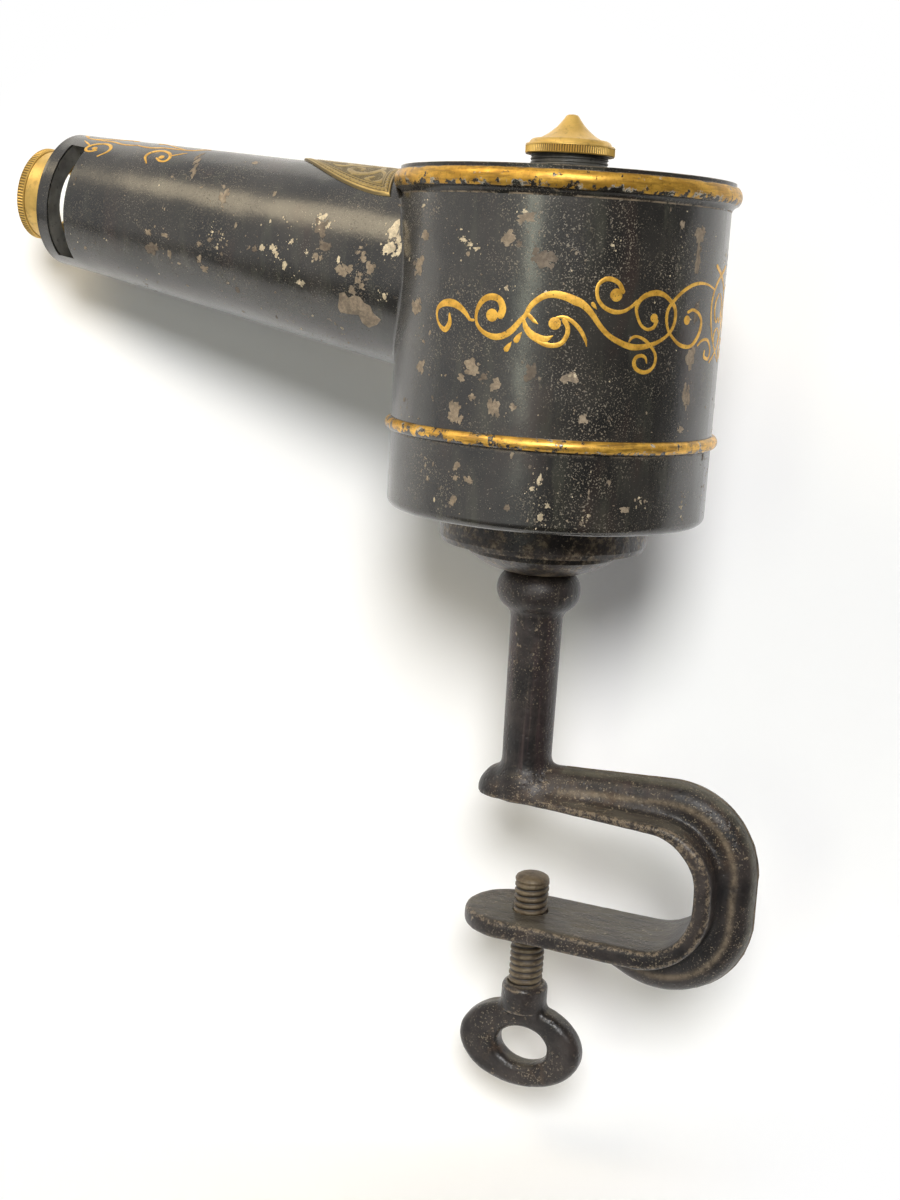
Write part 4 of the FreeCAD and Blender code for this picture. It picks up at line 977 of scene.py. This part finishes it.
PLATE_ORNAMENT = [
    [(-64.5, 0, 1.6), (-70, 0, 1.2), (-78, 0, 1.0), (-86, 0, 0.9), (-93, 0, 0.7)],
    [(-66, 1.0, 0.8), (-70, 4.5, 1.2), (-75, 6.8, 1.3), (-80, 6.4, 1.2), (-82.5, 3.8, 1.0), (-80.5, 1.9, 0.9),
     (-78.4, 3.2, 0.9), (-79, 4.6, 0.7)],
    [(-68.5, 4.0, 0.7), (-67, 9, 1.2), (-69, 13.5, 1.4), (-74, 15.2, 1.3), (-78, 12.8, 1.1), (-76.8, 9.8, 1.0),
     (-73.8, 10.2, 0.9), (-73.6, 12, 0.7)],
    [(-66.5, 10.5, 0.7), (-63, 14, 1.1), (-62.5, 18, 1.2), (-66, 20, 1.1), (-68.8, 18, 0.9), (-67, 16.2, 0.7)],
    [(-83.5, 1.5, 0.6), (-87, 4.2, 1.1), (-91, 4.4, 1.1), (-93, 2.4, 0.9), (-91, 1.6, 0.6)],
    [(-79.5, 7.2, 0.5), (-83, 9.5, 1.2), (-86.8, 8.2, 0.6)],
    [(-75, 15.8, 0.4), (-77.5, 17.0, 1.0), (-81, 14.8, 0.5)],
    [(-94, 0.6, 0.5), (-96.5, 1.8, 1.0), (-98.6, 1.0, 0.5)],
]


def make_plate():
    centre, radius = plate_edge()
    lines, columns = 151, 121
    y = np.linspace(-PLATE_HALF, PLATE_HALF, lines)[:, None] * np.ones((1, columns))
    share = np.linspace(0, 1, columns)[None, :] * np.ones((lines, 1))
    inner = -np.sqrt(PLATE_START ** 2 - y * y)
    outer = centre[0] - np.sqrt(np.maximum(radius ** 2 - (np.abs(y) - centre[1]) ** 2, 0))
    x = inner + share * (outer - inner)
    from_arc = radius - np.hypot(x - centre[0], np.abs(y) - centre[1])
    from_drum = np.hypot(x, y) - PLATE_START
    edge = np.minimum(np.minimum(from_arc, from_drum), PLATE_HALF - np.abs(y) + 0.6)
    along_edge = radius * np.arctan2(np.abs(y) - centre[1], -(x - centre[0]))
    along_edge = np.where(from_arc < from_drum, along_edge, PLATE_START * np.arctan2(y, -x))
    rim_at, bead_at, bead_half, bead_pitch, line_at, line_half, field = 0.45, 1.75, 0.8, 1.7, 3.05, 0.35, 3.2
    rim = np.clip(1 - np.abs(edge - rim_at) / rim_at, 0, 1)
    off_bead = np.mod(along_edge, bead_pitch) / (bead_pitch / 2) - 1
    beads = np.sqrt(np.clip(1 - ((edge - bead_at) / bead_half) ** 2 - off_bead ** 2, 0, 1))
    inner_line = np.clip(1 - np.abs(edge - line_at) / line_half, 0, 1) * 0.7
    leaf = np.zeros_like(x)
    for stroke in PLATE_ORNAMENT:
        d, wide = nearest(x, np.abs(y), smooth_line(stroke, 0.6))
        body = np.sqrt(np.clip(1 - (d / np.maximum(wide, 0.2)) ** 2, 0, 1))
        leaf = np.maximum(leaf, body * (0.82 + 0.18 * np.cos(d * 7.0)))
    leaf *= np.clip((edge - field) / 0.8, 0, 1)
    rng = np.random.default_rng(11)
    ground = rng.uniform(0, 0.38, x.shape) * np.clip((edge - field) / 0.5, 0, 1)
    relief = np.maximum.reduce([rim, beads, inner_line, leaf, ground])
    build = Builder()
    start = build.add(tube_top(x, y, PLATE_T + PLATE_RELIEF * relief))
    below = build.add(tube_top(x, y, PLATE_OFF + 0 * x))
    for i in range(lines - 1):
        for j in range(columns - 1):
            a = i * columns + j
            quad = (a, a + 1, a + 1 + columns, a + columns)
            build.faces.append(tuple(start + k for k in quad))
            build.faces.append(tuple(below + k for k in reversed(quad)))
    ring = (list(range(columns)) + [i * columns + columns - 1 for i in range(1, lines)]
            + [(lines - 1) * columns + j for j in range(columns - 2, -1, -1)]
            + [i * columns for i in range(lines - 2, 0, -1)])
    for a, b in zip(ring, ring[1:] + ring[:1]):
        build.faces.append((start + b, start + a, below + a, below + b))
    values = np.concatenate([relief.ravel(), np.full(relief.size, 0.3)])
    piece = make_piece("saddle_plate", build, "saddle", "lamp_house", "saddle_brass", 65, relief=values)
    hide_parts("tube_saddle")


make_plate()


# Knurled grip ring of the focus tube, and the wick winder's knob
def knurled_ring(name, node, body, place, inner, outer, thick, teeth, depth):
    """Ring about local Z from 0 to its thickness with a knurled outer face; inner 0 closes it to a disc."""
    profile = [(inner or 0.05, 0), (outer - 0.35, 0), (outer, 0.35), (outer, 0.40), (outer, thick - 0.40),
               (outer, thick - 0.35), (outer - 0.35, thick), (inner or 0.05, thick)]
    rows, relief = knurled_rows(profile, {3, 4}, teeth, depth)
    build = Builder()
    if inner:
        build.rows(np.concatenate([rows, rows[:1]]))
        relief = np.concatenate([relief, relief[:1]])
    else:
        build.closed(rows)
    build.points = [place @ Vector(p) for p in build.points]
    piece = make_piece(name, build, "knurl", body, "brass", 30, relief=relief.ravel())
    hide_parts(node)


tube_frame = Matrix.Translation((0, 0, TUBE_Z)) @ Matrix.Rotation(TUBE_TILT - math.pi / 2, 4, "Y")
FOCUS_END, FOCUS_GRIP_T = 221.4, 3.2
knurled_ring("focus_grip", "focus_rim", "lens_tube", tube_frame @ Matrix.Translation((0, 0, FOCUS_END - FOCUS_GRIP_T)),
             15.92, 17.6, FOCUS_GRIP_T, 96, 0.34)
WINDER_FACE = (9.5, -30.0, 135.8)
knurled_ring("winder_grip", "winder_knob", "winder",
             Matrix.Translation(WINDER_FACE) @ Matrix.Rotation(math.pi / 2, 4, "X"), 0, 5.5, 3.0, 40, 0.32)


# Rim and plate of the lid behind the tube, where the solid lid is cut through
def make_lid_back():
    rim_top, rim_out, rim_in, thick = LID_Z + 1.7, 58.0, 55.4, 0.7
    inner_r, slope_r = 48.0, 50.5
    half_turn, sinks_from = 21.0, 18.0
    rows = []
    for degrees in np.arange(-half_turn, half_turn + 0.1, 1.0):
        lift = 0.04 - 0.16 * max(0.0, (abs(degrees) - sinks_from) / (half_turn - sinks_from))
        high, edge_in, edge_out = rim_top + lift, rim_in - lift, rim_out + lift
        section = [(inner_r, LID_Z - thick), (inner_r, LID_Z - 0.1), (slope_r, LID_Z + lift), (edge_in, LID_Z + lift),
                   (edge_in, high), (edge_out, high), (edge_out, rim_top - thick), (DRUM_R - 0.1, rim_top - thick),
                   (DRUM_R - 0.1, LID_Z - thick)]
        a = math.radians(180 - degrees)
        rows.append([(r * math.cos(a), r * math.sin(a), z) for r, z in section])
    build = Builder().closed(rows, outward=False)
    make_piece("lid_back", build, "lid", "lamp_house", "black_tin", 30)


make_lid_back()


# Soldered seam where the tube meets the drum
def make_seam():
    size, start, end, apart = 0.95, 30.0, 330.0, 2.0
    rows = []
    for degrees in np.arange(start, end + 0.1, apart):
        around = math.radians(degrees)
        spoke = math.cos(around) * TUBE_UP + math.sin(around) * TUBE_SIDE
        along = DRUM_R
        for _ in range(20):
            p = along * TUBE_ALONG + (TUBE_R - TUBE_TAPER * (along - DRUM_R)) * spoke
            along += (DRUM_R - math.hypot(p[0], p[1])) * 0.8
        base = np.array([0, 0, TUBE_Z]) + p
        if base[2] > COVE_Z - 0.8:
            continue
        out = np.array([base[0], base[1], 0]) / DRUM_R
        swell = 1 + 0.16 * math.sin(degrees * 0.31) + 0.10 * math.sin(degrees * 0.83 + 1)
        across = spoke - out * float(spoke @ out)
        across /= np.linalg.norm(across)
        away = TUBE_ALONG - spoke * TUBE_TAPER
        along_tube = away / np.linalg.norm(away)
        s = size * swell
        section = [(1.0, 0.0), (0.42, 0.22), (0.20, 0.45), (0.0, 1.0)]
        rows.append([base - 0.3 * spoke - 0.2 * out] + [base + s * (a * across + b * along_tube) for a, b in section])
    build = Builder().closed(rows, outward=False)
    make_piece("tube_seam", build, "tube", "lamp_house", "black_tin", 60)


make_seam()


# Castings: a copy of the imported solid's mesh whose inner corners run soft and whose skin is uneven
STEM_Z, BEARING_Z, PLATE_TOP_Z = 8.0, 83.0, -44.0
RIB_START, RIB_END, RIB_R = (0.0, 5.5), (26.0, -43.9), 7.5
BEND_R, BEND_X = 32.0, 58.0
ARM_TOP_Z, BOW_LOW_Z, ARM_START_X = 16.5, -51.4 - 12.0, 16
RIB_STEPS, BEND_STEPS = 14, 26
RIB_HALF, OFF_RIB = 10.5, -50.0
STEM_SOFT, SCREW_HOLE_R, RING_BORE_R = 0.30, 9.0, 6.9
FILL, RUB, FIRST_ROUNDS, FRESH_NORMALS = 0.5, 0.03, 4, 4
LUMP_SCALE, LUMP_H, RELIEF_GAIN = 0.11, 0.16, 9.0
CHUNK = 4000


def rib_line():
    """Outer line of the rib in the XZ plane, from the arm round the bow to under the plate."""
    run_r = BEND_R - RIB_R
    top, low = (BEND_X, ARM_TOP_Z - BEND_R), (BEND_X, BOW_LOW_Z + BEND_R)

    def touch(point, centre, side):
        away = math.atan2(point[1] - centre[1], point[0] - centre[0])
        return away - side * math.acos(run_r / math.hypot(point[0] - centre[0], point[1] - centre[1]))

    a_top, a_low = touch(RIB_START, top, 1), touch(RIB_END, low, -1)
    line = []
    for k in range(RIB_STEPS):
        x = ARM_START_X + (top[0] + BEND_R * math.cos(a_top) - ARM_START_X) * k / RIB_STEPS
        foot = np.array(RIB_START) + RIB_R * np.array([math.cos(a_top), math.sin(a_top)])
        way = np.array([-math.sin(a_top), math.cos(a_top)])
        line.append(foot + way * (x - foot[0]) / way[0])
    for (x, z), start, end in ((top, a_top, 0), (low, 0, a_low)):
        line += [(x + BEND_R * math.cos(a), z + BEND_R * math.sin(a)) for a in np.linspace(start, end, BEND_STEPS)]
    return np.array(line)


def rib_rise(points):
    """Distance of each point outwards from the rib's middle line, and far below 0 off the rib."""
    line = rib_line()
    spread = np.linspace(0, len(line) - 1, 700)
    dense = np.stack([np.interp(spread, np.arange(len(line)), line[:, k]) for k in (0, 1)], -1)
    run = runs(dense)
    rise = np.full(len(points), OFF_RIB)
    for k in range(0, len(points), CHUNK):
        part = points[k:k + CHUNK]
        flat = part[:, ::2]
        near = np.hypot(flat[:, :1] - dense[:, 0], flat[:, 1:] - dense[:, 1]).argmin(1)
        off, way = flat - dense[near], run[near]
        out = off[:, 1] * way[:, 0] - off[:, 0] * way[:, 1]
        on_rib = (np.abs((off * way).sum(1)) < 1.0) & (np.abs(part[:, 1]) < RIB_HALF) & (out < 1.5)
        rise[k:k + CHUNK] = np.where(on_rib, RIB_R + out, OFF_RIB)
    return rise


def mean_of_neighbours(points, pairs, degree):
    a, b = pairs
    total = [np.bincount(a, points[:, k][b], len(points)) + np.bincount(b, points[:, k][a], len(points))
             for k in range(points.shape[1])]
    return np.stack(total, -1) / degree[:, None]


def cast_copy(name, node, body, slot, look, voxel, rounds, softness, **measures):
    """Remeshed copy of a node. Softness, by place, says how far inner corners fill; 0 keeps the solid's form.

    Measures are named functions of the points, kept for the material.
    """
    mesh = NODES[node].data.copy()
    mesh.transform(NODES[node].matrix_world)
    source = add_object(name, mesh)
    remesh = source.modifiers.new("skin", "REMESH")
    remesh.mode = "VOXEL"
    remesh.voxel_size = voxel * MM
    skin = bpy.data.meshes.new_from_object(source.evaluated_get(bpy.context.evaluated_depsgraph_get()))
    bpy.data.objects.remove(source)
    count = len(skin.vertices)
    points = np.empty(count * 3)
    skin.vertices.foreach_get("co", points)
    points = points.reshape(-1, 3) / MM
    pairs = np.empty(len(skin.edges) * 2, np.int64)
    skin.edges.foreach_get("vertices", pairs)
    pairs = pairs.reshape(-1, 2).T
    degree = np.bincount(pairs.ravel(), minlength=count)
    soft = softness(points)
    normals = np.empty(count * 3)
    for k in range(rounds):
        if k % FRESH_NORMALS == 0:
            skin.vertices.foreach_set("co", (points * MM).ravel())
            skin.update()
            skin.vertex_normals.foreach_get("vector", normals)
        pull = mean_of_neighbours(points, pairs, degree) - points
        hollow = (pull * normals.reshape(-1, 3)).sum(1) > 0
        points += pull * (np.where(hollow, FILL, FILL if k < FIRST_ROUNDS else RUB) * soft)[:, None]
    normals = normals.reshape(-1, 3)
    lump = np.array([noise.fractal(Vector(p) * LUMP_SCALE, 1.0, 2.0, 3) for p in points])
    points += normals * (LUMP_H * lump * np.clip(soft, 0, 1))[:, None]
    bend = ((mean_of_neighbours(points, pairs, degree) - points) * normals).sum(1)[:, None]
    for _ in range(3):
        bend = 0.4 * bend + 0.6 * mean_of_neighbours(bend, pairs, degree)
    faces = [tuple(face.vertices) for face in skin.polygons]
    relief = np.clip(0.5 - bend[:, 0] * RELIEF_GAIN / voxel, 0, 1)
    values = {label: measure(points) for label, measure in measures.items()}
    piece = make_piece(name, Builder(points, faces), look, body, slot, 180, relief=relief, **values)
    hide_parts(node)


def clamp_softness(points):
    x, y, z = points.T
    soft = np.where(z > STEM_Z, STEM_SOFT, 1.0)
    soft = np.where(z > BEARING_Z, 0.0, soft)
    return np.where((z < PLATE_TOP_Z + 0.4) & (np.hypot(x - SCREW_X, y) < SCREW_HOLE_R), 0.0, soft)


def ring_softness(points):
    return np.where(np.hypot(points[:, 0] - SCREW_X, points[:, 1]) < RING_BORE_R, 0.0, 1.0)


cast_copy("clamp_casting", "clamp_frame", "clamp", "casting", "casting", 0.8, 120, clamp_softness, rise=rib_rise)
cast_copy("ring_casting", "thumb_ring", "ring_head", "ring_iron", "ring", 0.6, 24, ring_softness)


# Parting line of the casting along the back of its rounded rib
BOW_MIDDLE = (40, -24)


def make_parting_line():
    line = rib_line()
    run = runs(line)
    out = np.stack([-run[:, 1], run[:, 0]], -1)
    rng = random.Random(5)
    rows = []
    for (x, z), (nx, nz) in zip(line, out):
        if nx * (x - BOW_MIDDLE[0]) + nz * (z - BOW_MIDDLE[1]) < 0:
            nx, nz = -nx, -nz
        half, high, lean = rng.uniform(0.45, 0.75), rng.uniform(0.12, 0.34), rng.uniform(-0.2, 0.2)
        section = [(-0.35, -half), (0.6 * high, -half * 0.4 + lean), (high, lean), (0.6 * high, half * 0.4 + lean),
                   (-0.35, half)]
        rows.append([(x + off * nx, y, z + off * nz) for off, y in section])
    build = Builder().closed(rows)
    make_piece("parting_line", build, "casting", "clamp", "casting", 60)


make_parting_line()


# Camera, in the photograph's place
CAMERA_PLACE = Vector((0.18793, -0.54555, 0.18960))
CAMERA_HEADING, CAMERA_PITCH, CAMERA_ROLL = math.radians(22.1938), math.radians(-11.4706), math.radians(-3.4671)
CAMERA_TURN = (Matrix.Rotation(CAMERA_HEADING, 4, "Z") @ Matrix.Rotation(CAMERA_PITCH, 4, "X")
               @ Matrix.Rotation(CAMERA_ROLL, 4, "Y"))
camera_data = bpy.data.cameras.new("camera")
camera_data.lens = 48.244
camera_data.sensor_width = 36.0
camera_data.clip_start = 0.01
camera = add_object("camera", camera_data)
camera.matrix_world = Matrix.Translation(CAMERA_PLACE) @ CAMERA_TURN @ Matrix.Rotation(math.pi / 2, 4, "X")
bpy.context.scene.camera = camera


# Stage: one white sweep, floor and backdrop in one
FLOOR_Z = -0.150
FLOOR_FRONT = 0.13
BACKDROP_OFF = 0.070
SWEEP_R = 0.05
PAPER_WHITE = 0.95
PAPER_GLOW = 0.06
PAPER_SHEEN = 0.28
PAPER_MIDDLE = (-0.09, 0.06, 0.03)
PAPER_FADE = (0.21, 0.285)
PAPER_HALF = 2.5
BACKDROP_HEIGHTS = (0.30, 0.62)
SWEEP_STEPS = 12


def white_paper():
    """White paper that keeps shadows, runs out into plain white, and can't be seen from behind."""
    paper = bpy.data.materials.new("white_paper")
    tree = Tree(paper)
    in_picture, mirrored = tree.seen_directly("Camera"), tree.seen_directly("Glossy", "Transmission")
    glow = tree.either(tree.times(in_picture, PAPER_GLOW), tree.times(mirrored, PAPER_SHEEN))
    diffuse = tree.new("BsdfDiffuse", {"Color": (PAPER_WHITE,) * 3})
    both = tree.new("AddShader", {0: diffuse.outputs[0], 1: tree.new("Emission", {"Strength": glow}).outputs[0]})
    geometry = tree.new("NewGeometry").outputs
    away = tree.new("VectorMath", {0: geometry["Position"], 1: PAPER_MIDDLE}, operation="DISTANCE").outputs["Value"]
    white = tree.new("Emission", {"Strength": 1.0})
    share = tree.times(in_picture, tree.step(away, *PAPER_FADE))
    fading = tree.new("MixShader", {0: share, 1: both.outputs[0], 2: white.outputs[0]})
    clear = tree.new("BsdfTransparent")
    sides = tree.new("MixShader", {0: geometry["Backfacing"], 1: fading.outputs[0], 2: clear.outputs[0]})
    tree.new("OutputMaterial", {"Surface": sides.outputs[0]})
    return paper


def make_stage():
    ahead = (CAMERA_TURN @ Vector((0, 1, 0))).normalized()
    level = Vector((ahead.x, ahead.y, 0)).normalized()
    side = Vector((level.y, -level.x, 0))
    pitch = math.asin(-ahead.z)
    corner = (BACKDROP_OFF + math.sin(pitch) * FLOOR_Z) / math.cos(pitch)
    turn = math.pi / 2 - pitch
    leg = SWEEP_R * math.tan(turn / 2)
    section = [(-FLOOR_FRONT, FLOOR_Z)]
    for k in range(SWEEP_STEPS + 1):
        a = turn * k / SWEEP_STEPS
        section.append((corner - leg + SWEEP_R * math.sin(a), FLOOR_Z + SWEEP_R * (1 - math.cos(a))))
    for far in BACKDROP_HEIGHTS:
        section.append((corner + math.sin(pitch) * far, FLOOR_Z + math.cos(pitch) * far))
    points = []
    for across in (-PAPER_HALF, PAPER_HALF):
        points += [tuple(level * h + side * across + Vector((0, 0, z))) for h, z in section]
    count = len(section)
    mesh = bpy.data.meshes.new("sweep")
    mesh.from_pydata(points, [], [(i + count, i + 1 + count, i + 1, i) for i in range(count - 1)])
    mesh.shade_smooth()
    mesh.materials.append(white_paper())
    sweep = add_object("sweep", mesh)


make_stage()

# World: white in the picture and through glass; in metal and varnish a room, light on the left, above and behind
AMBIENT = 0.10
ROOM_LOW = 0.10
ROOM_LEFT = 0.80
ROOM_RIGHT = 0.12
ROOM_TOP = 0.38
RIGHT_EDGE, LOW_EDGE, TOP_EDGE, BACK_EDGE = (0.0, 0.36), (-0.50, -0.20), (0.10, 0.85), (0.20, 0.75)


def make_world():
    world = bpy.data.worlds.new("studio")
    tree = Tree(world)
    x, y, z = tree.new("SeparateXYZ", {0: tree.new("TexCoord").outputs["Generated"]}).outputs
    left = tree.scaled(tree.step(x, *RIGHT_EDGE), ROOM_LEFT, ROOM_RIGHT)
    front = tree.times(left, tree.scaled(tree.step(z, *LOW_EDGE), ROOM_LOW, 1.0))
    high = tree.scaled(tree.step(z, *TOP_EDGE), 0.0, ROOM_TOP)
    room = tree.either(front, high, tree.step(y, *BACK_EDGE))
    glossy = tree.seen_directly("Glossy")
    level = tree.math("ADD", tree.times(glossy, room), tree.times(tree.inverse(glossy), AMBIENT))
    level = tree.either(level, tree.seen_directly("Camera", "Transmission"))
    shade = tree.new("Background", {"Color": (1.0, 1.0, 1.0), "Strength": level})
    tree.new("OutputWorld", {"Surface": shade.outputs[0]})
    bpy.context.scene.world = world


make_world()


def area_light(name, place, target, width, height, power, colour=(1, 1, 1)):
    data = bpy.data.lights.new(name, "AREA")
    data.shape = "ELLIPSE"
    data.size, data.size_y = width, height
    data.energy, data.color = power, colour
    lamp = add_object(name, data)
    lamp.location = place
    lamp.rotation_mode = "QUATERNION"
    lamp.rotation_quaternion = (Vector(target) - Vector(place)).to_track_quat("-Z", "Y")


area_light("key", (0.66, -1.79, 1.24), (0.0, 0.0, 0.10), 0.84, 0.84, 43.0)
area_light("warm_top", (-0.46, -0.58, 0.88), (-0.06, 0.0, 0.16), 0.60, 0.46, 3.2, (1.0, 0.83, 0.56))
area_light("window", (-0.05, -1.30, 0.30), (0.0, 0.0, 0.18), 0.16, 0.50, 1.2, (0.95, 1.0, 0.78))

bpy.context.scene.view_settings.view_transform = "Standard"
